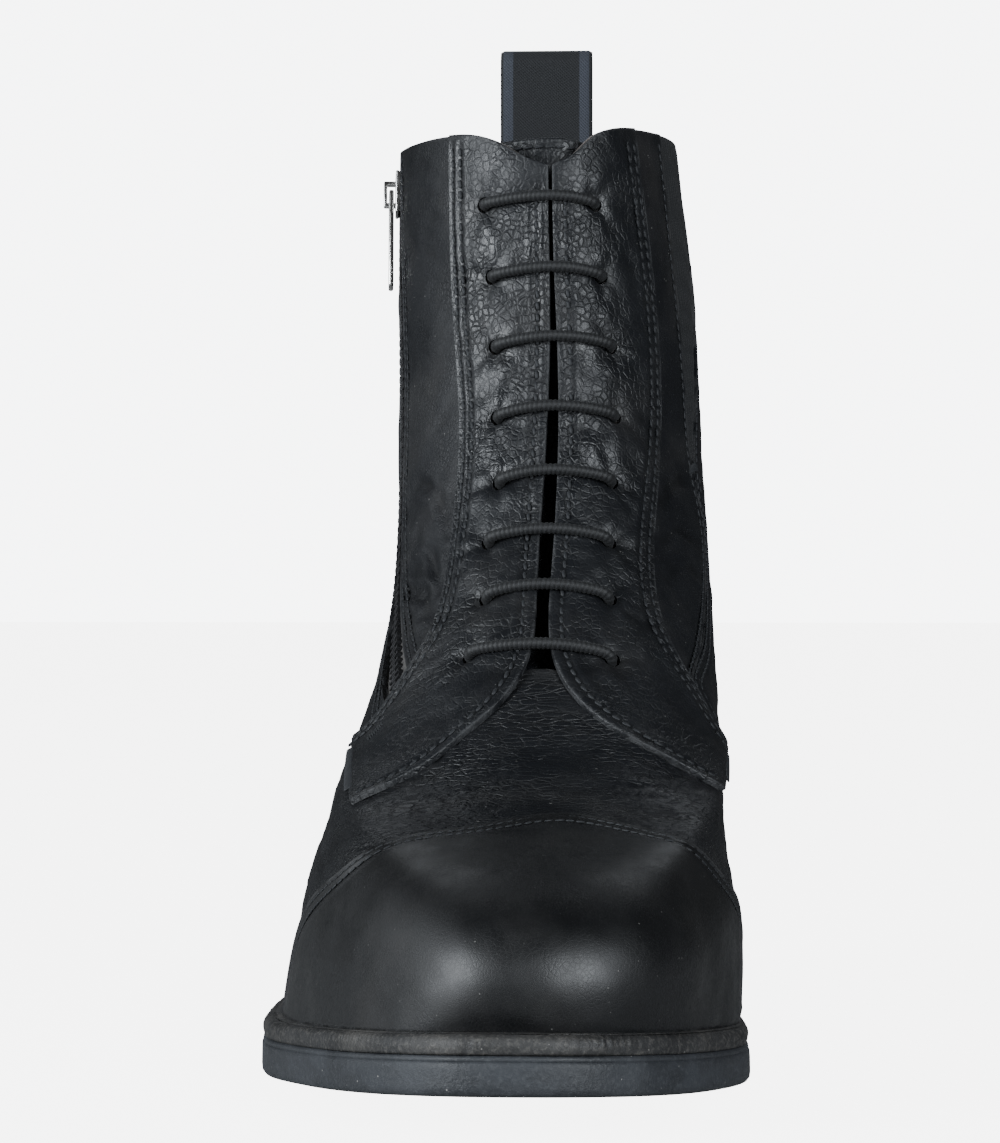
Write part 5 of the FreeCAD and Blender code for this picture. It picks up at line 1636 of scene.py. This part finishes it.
@dataclass
class PullLoop:
    """Twill webbing loop, sewn inside and outside the back of the rim.

    Attributes:
        width: width of the webbing.
        thick: thickness of the webbing.
        height: top of the loop above the rim.
        grip: length of each sewn end below the rim.
    """

    width: float = 25.0
    thick: float = 1.5
    height: float = 34.0
    grip: float = 14.0

    def build(self) -> None:
        """One band from the sewn end inside, over the top, to the sewn end outside."""
        rim_z = FORM.point(rim_place(BACK_SEAM))[2]
        x = FORM.point(rim_place(BACK_SEAM))[0]
        levels = [level_at_height(BACK_SEAM, rim_z - drop) for drop in (self.grip, self.grip * 0.66,
                                                                  self.grip * 0.33, 0.3)]
        inside, outside = -LEATHER - 0.8 - LINING - 0.05 - self.thick / 2, 1.05 + self.thick / 2
        centre = FORM.point((BACK_SEAM, levels[-1]))
        middle_y = centre[1] - 1.2
        reach = 4.5 - self.thick / 2
        crown = rim_z + self.height - 4.5
        low = [FORM.point((BACK_SEAM, level), inside) for level in levels]
        high = [FORM.point((BACK_SEAM, level), outside) for level in reversed(levels)]
        up = [(x, middle_y - reach * share, z) for share, z in
              ((0.95, rim_z + 3.0), (1.0, rim_z + 8.0), (1.03, rim_z + 16.0), (1.02, rim_z + 23.0))]
        arc = [(x, middle_y - reach * math.cos(a), crown + reach * math.sin(a))
               for a in np.linspace(0.0, math.pi, 9)]
        down = [(x, middle_y + reach * share, z) for share, z in
                ((1.02, rim_z + 23.0), (1.03, rim_z + 16.0), (1.0, rim_z + 8.0), (0.95, rim_z + 3.0))]
        route = Track(*low, *up, *arc, *down, *high)
        path = route.at(np.linspace(0, 1, 190))
        lengths = run_lengths(path)
        marks = np.linspace(0, lengths[-1], 150)
        path = at_lengths(path, lengths, marks)
        ahead = np.gradient(path, axis=0)
        ahead /= np.linalg.norm(ahead, axis=1, keepdims=True)
        face = np.cross(ahead, (1.0, 0.0, 0.0))
        across = np.linspace(-1, 1, 27)
        below = np.clip((rim_z + 1.0 - path[:, 2]) / 3.0, 0.0, 1.0)[:, None]
        bend = self.bend(across * self.width / 2)[None, :] * below
        edge = np.sqrt(np.clip(1.0 - np.clip((np.abs(across) - 0.94) / 0.06, 0, 1) ** 2, 0.12, 1.0))
        rows = []
        for sign in (1, -1):
            spot = path[:, None] + (across * self.width / 2)[None, :, None] * np.array((1.0, 0.0, 0.0))
            spot = spot + face[:, None] * (sign * self.thick / 2 * edge)[None, :, None]
            spot[..., 1] -= bend
            rows.append(spot)
        along, wide = rows[0].shape[:2]
        points = np.concatenate([r.reshape(-1, 3) for r in rows])
        index = np.arange(along * wide).reshape(along, wide)
        quads = np.stack((index[:-1, :-1], index[:-1, 1:], index[1:, 1:], index[1:, :-1]), axis=-1)
        quads = quads.reshape(-1, 4)
        ring = np.concatenate((index[0, :-1], index[:-1, -1], index[-1, :0:-1], index[:0:-1, 0]))
        after, other = np.roll(ring, -1), along * wide
        walls = np.stack((after, ring, ring + other, after + other), axis=-1)
        faces = np.concatenate((quads, (quads + other)[:, ::-1], walls))
        made = mesh_object("pull_loop_webbing", points, faces.tolist())
        run = np.tile(np.stack(np.meshgrid(marks, across * self.width / 2, indexing="ij"), -1)
                      .reshape(-1, 2), (2, 1))
        cloth_layer(made.data, run[:, ::-1])
        outward(made)
        smooth(made, 60)
        dress(made, WEBBING)
        deselect()
        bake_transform(made)
        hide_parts("pull_loop_inner_end", "pull_loop_outer_end", "pull_loop")
        self.box_stitch(outside + self.thick / 2)

    def bend(self, aside: Array) -> Array:
        """How far the rim has curved forwards at a distance from its middle."""
        ring = FORM.point(np.stack((np.linspace(7.0, 9.0, 60), np.full(60, 10.4)), axis=-1))
        order = np.argsort(ring[:, 0])
        centre_x = FORM.point((BACK_SEAM, 10.4))[0]
        y = np.interp(centre_x + aside, ring[order, 0], ring[order, 1])
        return y.max() - y

    def box_stitch(self, lift: float) -> None:
        """Rectangle of stitches that holds the outer end."""
        low, high = level_at_height(BACK_SEAM, 218 - self.grip + 2.0), level_at_height(BACK_SEAM, 216.5)
        corners = [(7.25, low), (8.75, low), (8.75, high), (7.25, high), (7.25, low)]
        seams = [Seam(line(a, b), 0.0, lift, 2.4, (0.0, 1.0), 0.7) for a, b in zip(corners, corners[1:])]
        made = sewn("pull_loop_stitches", seams)
        dress(made, BLACK_THREAD)
        settle(made, "root", "webbing")


# --- zip ---------------------------------------------------------------------------------------------

class Hardware(Enum):
    """Small metal pieces of the zip, by the CAD node that each one stands for."""

    SLIDER = "zip_slider"
    PULL = "zip_pull"


@dataclass
class ZipFastener:
    """Woven tapes, and the plated slider and pull; the teeth and stops keep their CAD shapes.

    Attributes:
        tape: width of a tape.
        slider_at: where the slider stands along the zip, 0..1.
        teeth: height of the teeth above the tapes, which the slider rides on.
        tape_gap: gap between the leather's underside and the tapes.
        plate_lift: lift of the slider's plate above the teeth.
        plate: thickness of the plate.
        arch_room: room under the arch.
    """

    tape: float = 12.5
    slider_at: float = 0.055
    teeth: float = 1.4
    tape_gap: float = 0.1
    plate_lift: float = 0.4
    plate: float = 0.9
    arch_room: float = 2.1

    def build(self) -> None:
        """Builds the tapes and the metal pieces."""
        self.tapes()
        self.slider()
        self.pull()
        for node in ("zip_teeth_front", "zip_teeth_rear"):
            dress(NODES[node], TEETH)
        for node in ("zip_top_stop", "zip_bottom_stop"):
            dress(NODES[node], NICKEL)

    def tapes(self) -> None:
        """Two woven tapes with a UV along the zip."""
        for name, way in (("zip_tape_front", -1), ("zip_tape_rear", 1)):
            near, far = ZIP.edge(way * 1.0, 0.97), ZIP.edge(way * self.tape, 0.97)
            piece = Panel(f"{name}_cloth", (line(tuple(near.at(0)), tuple(far.at(0))), far,
                                            line(tuple(near.at(1)), tuple(far.at(1))), near),
                          -LEATHER - 0.7, -LEATHER - 0.1, cell=1.2, roll=0.12)
            made = piece.build()
            cloth_layer(made.data, vertices_of(made.data)[:, 1:] / MM)
            dress(made, TAPE, TAPE)
            settle(made, "root", "zip_tape", name)

    def placed(self, obj: bpy.types.Object, outward_by: float) -> None:
        """Moves a mesh built at the origin (x outward, y towards the toe, z up) to the slider's place."""
        centre, out, across, up = ZIP.axes(self.slider_at, -LEATHER - self.tape_gap + self.teeth)
        frame_axes = np.stack((out, across, up), axis=1)
        local = vertices_of(obj.data) + np.array((outward_by * MM, 0.0, 0.0))
        obj.data.vertices.foreach_set("co", (local @ frame_axes.T + centre * MM).ravel())
        obj.data.update()

    def slab(self, name: str, low: Sequence[float], high: Sequence[float], bevel: float,
             taper: float = 0.0) -> bpy.types.Object:
        """Bevelled block between two corners in millimetres, narrower at its lower end by taper."""
        deselect()
        middle = (np.array(low) + high) / 2 * MM
        bpy.ops.mesh.primitive_cube_add(size=1.0, location=middle)
        made = bpy.context.object
        made.name = name
        made.scale = (np.array(high) - low) * MM
        bpy.ops.object.transform_apply(location=True, rotation=False, scale=True)
        if taper:
            for vertex in made.data.vertices:
                if vertex.co.z < middle[2]:
                    vertex.co.y *= 1.0 - taper
        modify(made, "BEVEL", width=bevel * MM, segments=3, limit_method="ANGLE")
        return made

    def merge(self, name: str, pieces: list[bpy.types.Object]) -> bpy.types.Object:
        """Unites overlapping blocks into one closed mesh."""
        body = pieces[0]
        for other in pieces[1:]:
            modify(body, "BOOLEAN", operation="UNION", object=other, solver="EXACT")
            bpy.data.objects.remove(other)
        body.name = name
        body.data.name = name
        smooth(body, 40)
        return body

    def slider(self) -> None:
        """Tapered plate with two flanges and a rounded arch for the pull."""
        plate = self.slab("plate", (0.4, -3.8, -5.5), (1.3, 3.8, 5.5), 0.35, 0.22)
        flanges = [self.slab(f"flange_{side}", (-0.9, min(side * 3.0, side * 3.8), -5.2),
                             (1.1, max(side * 3.0, side * 3.8), 5.2), 0.2, 0.22) for side in (-1, 1)]
        arch = [self.slab("arch_top", (3.4, -0.9, -3.5), (4.3, 0.9, 3.5), 0.35),
                self.slab("arch_upper", (0.8, -0.9, 2.4), (4.1, 0.9, 3.5), 0.3),
                self.slab("arch_lower", (0.8, -0.9, -3.5), (4.1, 0.9, -2.4), 0.3)]
        made = self.merge(f"{Hardware.SLIDER.value}_body", [plate, *flanges, *arch])
        self.placed(made, 0.0)
        dress(made, NICKEL)
        settle(made, "slider", "zip_metal", Hardware.SLIDER.value)

    def pull(self) -> None:
        """Flat bar with an eye at its upper end and a lengthwise slot."""
        thick, length, half = 1.25, 26.0, 2.5
        eye = thick / 2
        bar = self.slab("bar", (-eye, -half, eye - length), (eye, half, eye), 0.45)
        for name, low, high, bevel in (("hole", (-3, -1.25, -eye - 4.0), (3, 1.25, -eye), 0.3),
                                       ("slot", (0.35, -1.3, 3.0 - length), (2.0, 1.3, -9.0), 0.25)):
            cutter = self.slab(name, low, high, bevel)
            modify(bar, "BOOLEAN", operation="DIFFERENCE", object=cutter, solver="EXACT")
            bpy.data.objects.remove(cutter)
        bar.name = f"{Hardware.PULL.value}_bar"
        bar.data.name = bar.name
        smooth(bar, 40)
        self.placed(bar, self.plate_lift + self.plate + self.arch_room / 2)
        dress(bar, NICKEL)
        settle(bar, "pull", "zip_metal", Hardware.PULL.value)


# --- the bottom --------------------------------------------------------------------------------------

def closed_curve(points: Sequence[Place], count: int) -> Array:
    """Even points along the smooth closed curve through some points."""
    table = np.array(points, float)
    number = len(table)
    poles = smooth_poles(number, lambda i: table[i % number])
    u = np.linspace(0, number, count * 6, endpoint=False)
    span = u.astype(int)
    weights = spline_weights(u - span)
    curve = sum(weights[i][:, None] * poles[(span + i - 1) % number] for i in range(4))
    ring = np.concatenate((curve, curve[:1]))
    lengths = run_lengths(ring)
    return at_lengths(ring, lengths, np.linspace(0, lengths[-1], count, endpoint=False))


def inset(ring: Array, distance: Array | float) -> Array:
    """Closed outline moved inwards."""
    ahead = np.roll(ring, -1, axis=0) - np.roll(ring, 1, axis=0)
    ahead /= np.linalg.norm(ahead, axis=1, keepdims=True)
    area = np.sum(ring[:, 0] * np.roll(ring[:, 1], -1) - ring[:, 1] * np.roll(ring[:, 0], -1))
    sign = 1.0 if area > 0 else -1.0
    inward = np.stack((-ahead[:, 1], ahead[:, 0]), axis=1) * sign
    return ring + inward * np.asarray(distance, float).reshape(-1, 1)


def lofted(name: str, rings: Sequence[Array], caps: tuple[bool, bool] = (True, True)) -> bpy.types.Object:
    """Closed body through rings of equal length; open ends join each other when not capped."""
    count = len(rings[0])
    points = np.concatenate(rings)
    index = np.arange(len(points)).reshape(len(rings), count)
    faces = []
    rows = list(range(len(rings)))
    pairs = list(zip(rows, rows[1:]))
    if not any(caps):
        pairs.append((rows[-1], rows[0]))
    for low, high in pairs:
        after_low, after_high = np.roll(index[low], -1), np.roll(index[high], -1)
        faces += np.stack((index[low], after_low, after_high, index[high]), axis=-1).tolist()
    if caps[0]:
        faces.append(index[0][::-1].tolist())
    if caps[1]:
        faces.append(index[-1].tolist())
    made = mesh_object(name, points, faces)
    outward(made)
    return made


def on_level(ring: Array, height: Callable[[Array], Array], lift: Array | float) -> Array:
    """Ring seen from above put at a height that depends on y."""
    moved = ring + FORM_SHIFT[:2]
    z = height(ring[:, 1]) + lift + FORM_SHIFT[2]
    return np.column_stack((moved, z))


FEATHER_RING = FORM.point(np.stack((np.linspace(0, HALF, 200), np.zeros(200)), axis=-1)) - FORM_SHIFT


def welt_top(y: Array) -> Array:
    """Height of the welt's top at y, where the upper starts."""
    inner = np.interp(y, FEATHER_RING[:, 1], FEATHER_RING[:, 2])
    at = np.clip(y, FEATHER_RING[0, 1], FEATHER_RING[-1, 1])
    return inner + underside(y) - underside(at)


@dataclass
class Bottom:
    """Outsole with its tread, wrinkled welt strip and the heel.

    Attributes:
        around: points round an outline.
        grooves: cross folds round the welt.
        welt_width: width of the welt strip.
        welt_edge: how far its outer edge lies inside the outsole's.
    """

    around: int = 1500
    grooves: int = 420
    welt_width: float = 7.6
    welt_edge: float = 0.7

    def build(self) -> None:
        """Builds every visible piece of the bottom."""
        self.outsole()
        self.welt()
        self.heel()
        self.tread()

    def outsole(self) -> None:
        """Slab with rounded edges, a fine bead under the welt and faint moulding ribs round its side."""
        outline = closed_curve(SOLE_OUTLINE, 520)
        profile = [(1.6, 0.0), (0.55, 0.22), (0.12, 0.8), (0.0, 1.8), (0.02, 3.4), (0.05, 5.0),
                   (0.1, 6.3), (0.28, 6.7), (0.5, 6.9), (0.32, 7.15), (0.42, 7.7), (1.0, 8.12), (2.2, 8.2)]
        rings = []
        wave = ripple(np.column_stack((outline, np.zeros(len(outline)))), 26.0, 61) * 0.12
        for depth, z in profile:
            ring = inset(outline, depth + wave * (0.4 if z < 6 else 0.1) + 0.12)
            rings.append(on_level(ring, underside, z))
        made = lofted("outsole_body", rings)
        modify(made, "TRIANGULATE")
        smooth(made, 50)
        dress(made, SOLE_RUBBER)
        settle(made, "root", "rubber", "outsole")

    def welt(self) -> None:
        """Strip round the upper with close cross folds, a worn outer bead and a tight inner lip."""
        outline = closed_curve(SOLE_OUTLINE, self.around)
        flat = np.column_stack((outline, np.zeros(len(outline))))
        turn = np.arange(self.around) / self.around * 2 * math.pi
        uneven_spacing = 2.2 * ripple(flat, 11.0, 71)
        fold = np.sin(turn * self.grooves + uneven_spacing) * (0.6 + 0.4 * ripple(flat, 16.0, 72))
        fold += 0.5 * ripple(flat, 1.9, 73)
        uneven = ripple(flat, 21.0, 74) * 0.18
        inner = inset(outline, self.welt_edge + self.welt_width)
        upper = self.upper_ring()
        rings = []
        profile = [(0.75, 0.05, 0.0), (0.62, 0.5, 0.25), (0.5, 1.3, 0.8), (0.55, 2.2, 1.0), (0.85, 3.1, 1.0),
                   (1.5, 3.75, 0.9), (2.5, 4.05, 0.7), (3.8, 4.12, 0.5)]
        for depth, z, share in profile:
            lift = z - 4.2 if z > 2.5 else z
            base = welt_top if z > 2.5 else (lambda y: underside(y) + OUTSOLE)
            ring = inset(outline, depth + uneven * 0.5 - 0.10 * fold * share)
            rings.append(on_level(ring, base, lift + 0.09 * fold * share))
        lip = upper[self.nearest(outline, upper)]
        for share, lift in ((0.55, -0.12), (0.85, 0.05), (1.0, 0.32), (1.06, 0.1), (1.15, -0.6)):
            ring = outline * (1 - share) + lip * share
            rings.append(on_level(ring, welt_top, lift + 0.05 * fold * (1 - share)))
        rings.append(on_level(inner, welt_top, -0.8))
        rings.append(on_level(inner, lambda y: underside(y) + OUTSOLE, 0.05))
        made = lofted("welt_strip", rings, (False, False))
        smooth(made)
        dress(made, WELT_RUBBER)
        settle(made, "root", "welt_leather", "welt")

    def upper_ring(self) -> Array:
        """Outline of the upper where it meets the welt, seen from above."""
        stations = np.linspace(0, STATIONS, 900, endpoint=False)
        return FORM.point(np.stack((stations, np.full(900, 0.06)), axis=-1), 0.9)[:, :2] - FORM_SHIFT[:2]

    def nearest(self, ring: Array, target: Array) -> Array:
        """Index of the target point nearest to each point of a ring."""
        return np.array([int(np.argmin(((target - spot) ** 2).sum(axis=1))) for spot in ring])

    def heel_ring(self, front: float, count: int) -> Array:
        """Heel seen from above, with a hollow breast."""
        outline = closed_curve(SOLE_OUTLINE, 1600)
        back = outline[outline[:, 1] > front]
        order = np.argsort(np.arctan2(back[:, 1] - front, back[:, 0]))
        back = back[order]
        first, last = back[0], back[-1]
        share = np.linspace(0, 1, 60)[1:-1]
        breast = last[None] * (1 - share[:, None]) + first[None] * share[:, None]
        breast[:, 1] += 5.0 * np.sin(math.pi * share)
        ring = np.concatenate((back, breast))
        closed = np.concatenate((ring, ring[:1]))
        lengths = run_lengths(closed)
        return at_lengths(closed, lengths, np.linspace(0, lengths[-1], count, endpoint=False))

    def heel(self) -> None:
        """Heel block with a stacked look, and the rubber top piece under it."""
        front, cap = 66.0, 6.0
        ring = self.heel_ring(front, 420)

        def seat(y: Array) -> Array:
            """Height of the top of the heel, just under the outsole."""
            return underside(y) - 0.05

        rings = [on_level(inset(ring, 0.9), np.zeros_like, cap + 0.02)]
        for step in range(13):
            share = step / 12
            groove = 0.55 if step % 3 == 0 else 0.25
            level = np.minimum(cap + 0.4 + share * 18.0, seat(ring[:, 1]) - 0.25)
            rings.append(np.column_stack((inset(ring, groove + 0.1 * share) + FORM_SHIFT[:2],
                                          level + FORM_SHIFT[2])))
        rings.append(on_level(inset(ring, 0.9), seat, 0.0))
        made = lofted("heel_block_body", rings)
        modify(made, "TRIANGULATE")
        smooth(made, 35)
        dress(made, SOLE_RUBBER)
        settle(made, "root", "rubber", "heel_block")
        profile = [(1.3, 0.0), (0.5, 0.25), (0.3, 0.8), (0.3, 5.2), (0.45, 5.8), (0.9, 5.98)]
        made = lofted("heel_top_piece_body", [on_level(inset(ring, d), np.zeros_like, z) for d, z in profile])
        modify(made, "TRIANGULATE")
        smooth(made, 50)
        dress(made, SOLE_RUBBER)
        settle(made, "root", "rubber", "heel_top_piece")

    def tread(self) -> None:
        """Low studs in staggered rows under the forefoot, inside the outline."""
        outline = closed_curve(SOLE_OUTLINE, 300)
        centre = outline.mean(axis=0)
        spots = []
        for row, y in enumerate(np.arange(-136, 22, 6.2)):
            for x in np.arange(-60, 60, 7.4) + (3.7 if row % 2 else 0.0):
                gaps = np.linalg.norm(outline - (x, y), axis=1)
                near = outline[int(np.argmin(gaps))]
                if gaps.min() > 6.5 and np.linalg.norm(near - centre) > np.linalg.norm(
                        np.array((x, y)) - centre):
                    spots.append((x, y))
        spots = np.array(spots)
        inside = np.array([self.within(outline, spot) for spot in spots])
        spots = spots[inside]
        ahead = np.array((0.85, 0.53, 0.0))
        along = np.tile(ahead, (len(spots), 1))
        along[1::2, 1] *= -1
        z = underside(spots[:, 1]) + 0.35
        centres = np.column_stack((spots + FORM_SHIFT[:2], z + FORM_SHIFT[2]))
        made = bars("tread_studs", centres, along, np.tile((0.0, 0.0, -1.0), (len(spots), 1)), 6.0, 2.6, 0.7)
        dress(made, SOLE_RUBBER)
        settle(made, "root", "rubber")

    def within(self, outline: Array, spot: Array) -> bool:
        """True if a spot lies inside a closed outline."""
        start, end = outline, np.roll(outline, -1, axis=0)
        crosses = (start[:, 1] > spot[1]) != (end[:, 1] > spot[1])
        step = np.where(end[:, 1] == start[:, 1], 1e-9, end[:, 1] - start[:, 1])
        x = start[:, 0] + (spot[1] - start[:, 1]) / step * (end[:, 0] - start[:, 0])
        return bool(np.sum(crosses & (x > spot[0])) % 2)


# --- inside ------------------------------------------------------------------------------------------

@dataclass(frozen=True)
class Inside:
    """Finishes of the pieces inside the boot, which keep their CAD shapes."""

    skins: tuple[str, ...] = ("vamp_lining", "zip_side_front_lining", "zip_side_rear_lining",
                              "gore_side_lining", "heel_lining")
    stays: tuple[str, ...] = ("zip_side_facing_lining", "gore_side_facing_lining")
    boards: tuple[str, ...] = ("insole_board", "sole_filler", "toe_puff", "heel_stiffener")

    def dress_all(self) -> None:
        """Gives each piece its finish."""
        for node in self.skins:
            dress(NODES[node], LINING_SKIN)
        for node in self.stays:
            dress(NODES[node], RAW_BROWN)
        for node in self.boards:
            dress(NODES[node], BOARD)
        dress(NODES["footbed"], BRUSHED)
        dress(NODES["zip_guard"], LINING_SKIN)
        dress(NODES["shank"], SPRING)


# --- studio ------------------------------------------------------------------------------------------

DAYLIGHT = (0.90, 0.95, 1.0)
SKY = (0.97, 0.985, 1.0, 1.0)
FLOOR_TONES = ((0.34, 0.34, 0.34), (0.37, 0.37, 0.37))
FLOOR_SIZE = 14.0


@dataclass(frozen=True)
class Light:
    """Soft lamp aimed at the boot.

    Attributes:
        name: name of the lamp.
        place: where it hangs, in metres.
        aim: where it points.
        size: width and height.
        power: watts.
    """

    name: str
    place: tuple[float, float, float]
    aim: tuple[float, float, float]
    size: Place
    power: float

    def hang(self) -> None:
        """Adds the lamp."""
        data = bpy.data.lights.new(self.name, "AREA")
        data.shape = "RECTANGLE"
        data.size, data.size_y = self.size
        data.energy = self.power
        data.color = DAYLIGHT
        lamp = bpy.data.objects.new(self.name, data)
        bpy.context.scene.collection.objects.link(lamp)
        lamp.location = self.place
        way = np.array(self.aim) - self.place
        lamp.rotation_mode = "QUATERNION"
        lamp.rotation_quaternion = Vector(way).to_track_quat("-Z", "Y")


@dataclass(frozen=True)
class Studio:
    """Pale floor, white surroundings, soft lamps and the camera.

    Attributes:
        camera_at: place of the camera in metres.
        azimuth: turn of the camera round the vertical, in degrees.
        lens: focal length in millimetres.
        backdrop: strength of the surroundings as the camera sees them.
        fill: strength of the surroundings as light.
        floor_glow: strength of the floor's glow, which only the camera sees.
        lights: the lamps.
    """

    camera_at: tuple[float, float, float] = (0.0413, -0.8474, 0.1111)
    azimuth: float = 3.0
    lens: float = 113.4
    backdrop: float = 7.0
    fill: float = 0.062
    floor_glow: float = 6.0
    lights: tuple[Light, ...] = (
        Light("left_softbox", (-1.10, -0.72, 0.34), (0.0, -0.05, 0.08), (0.5, 0.9), 37.0),
        Light("right_softbox", (0.70, -1.02, 0.36), (0.0, -0.05, 0.08), (0.42, 0.9), 25.0),
        Light("back_softbox", (0.0, 1.6, 1.3), (0.0, 0.0, 0.1), (1.4, 0.6), 4.0),
        Light("side_softbox", (-1.3, 0.3, 0.6), (0.0, 0.0, 0.1), (0.6, 0.9), 3.0),
    )

    def build(self) -> None:
        """Floor, world, lamps and camera."""
        deselect()
        bpy.ops.mesh.primitive_plane_add(size=FLOOR_SIZE, location=(0, 0, 0))
        floor = bpy.context.object
        floor.name = "floor"
        made, g, shader = material("pale_floor", 0.9)
        tone = g.mix(g.noise(g.here(), 3.0, 2.0), *FLOOR_TONES)
        g.tree.links.new(tone, shader.inputs["Base Color"])
        shader.inputs["Emission Color"].default_value = (1.0, 1.0, 1.0, 1.0)
        looked_at = g.node("ShaderNodeLightPath").outputs["Is Camera Ray"]
        g.tree.links.new(g.sum("MULTIPLY", looked_at, self.floor_glow), shader.inputs["Emission Strength"])
        dress(floor, made)
        world = bpy.data.worlds.new("studio_white")
        bpy.context.scene.world = world
        world.use_nodes = True
        sky = Graph(world.node_tree)
        seen = sky.node("ShaderNodeLightPath").outputs["Is Camera Ray"]
        backdrop = world.node_tree.nodes["Background"]
        backdrop.inputs[0].default_value = SKY
        world.node_tree.links.new(sky.sum("MULTIPLY_ADD", seen, self.backdrop - self.fill, self.fill),
                                  backdrop.inputs[1])
        for light in self.lights:
            light.hang()
        data = bpy.data.cameras.new("camera")
        data.lens = self.lens
        data.sensor_width = 36.0
        data.clip_end = 20.0
        camera = bpy.data.objects.new("camera", data)
        bpy.context.scene.collection.objects.link(camera)
        camera.location = self.camera_at
        camera.rotation_euler = (math.pi / 2, 0.0, math.radians(self.azimuth))
        bpy.context.scene.camera = camera


def main() -> None:
    """Builds every sub-assembly."""
    upper = Upper()
    upper.facings()
    upper.front()
    upper.zip_side()
    upper.gore_side()
    upper.back()
    upper.threads()
    Lace().build()
    Tongue().build()
    PullLoop().build()
    ZipFastener().build()
    Bottom().build()
    Inside().dress_all()
    Studio().build()
    deselect()


if __name__ == "__main__":
    main()
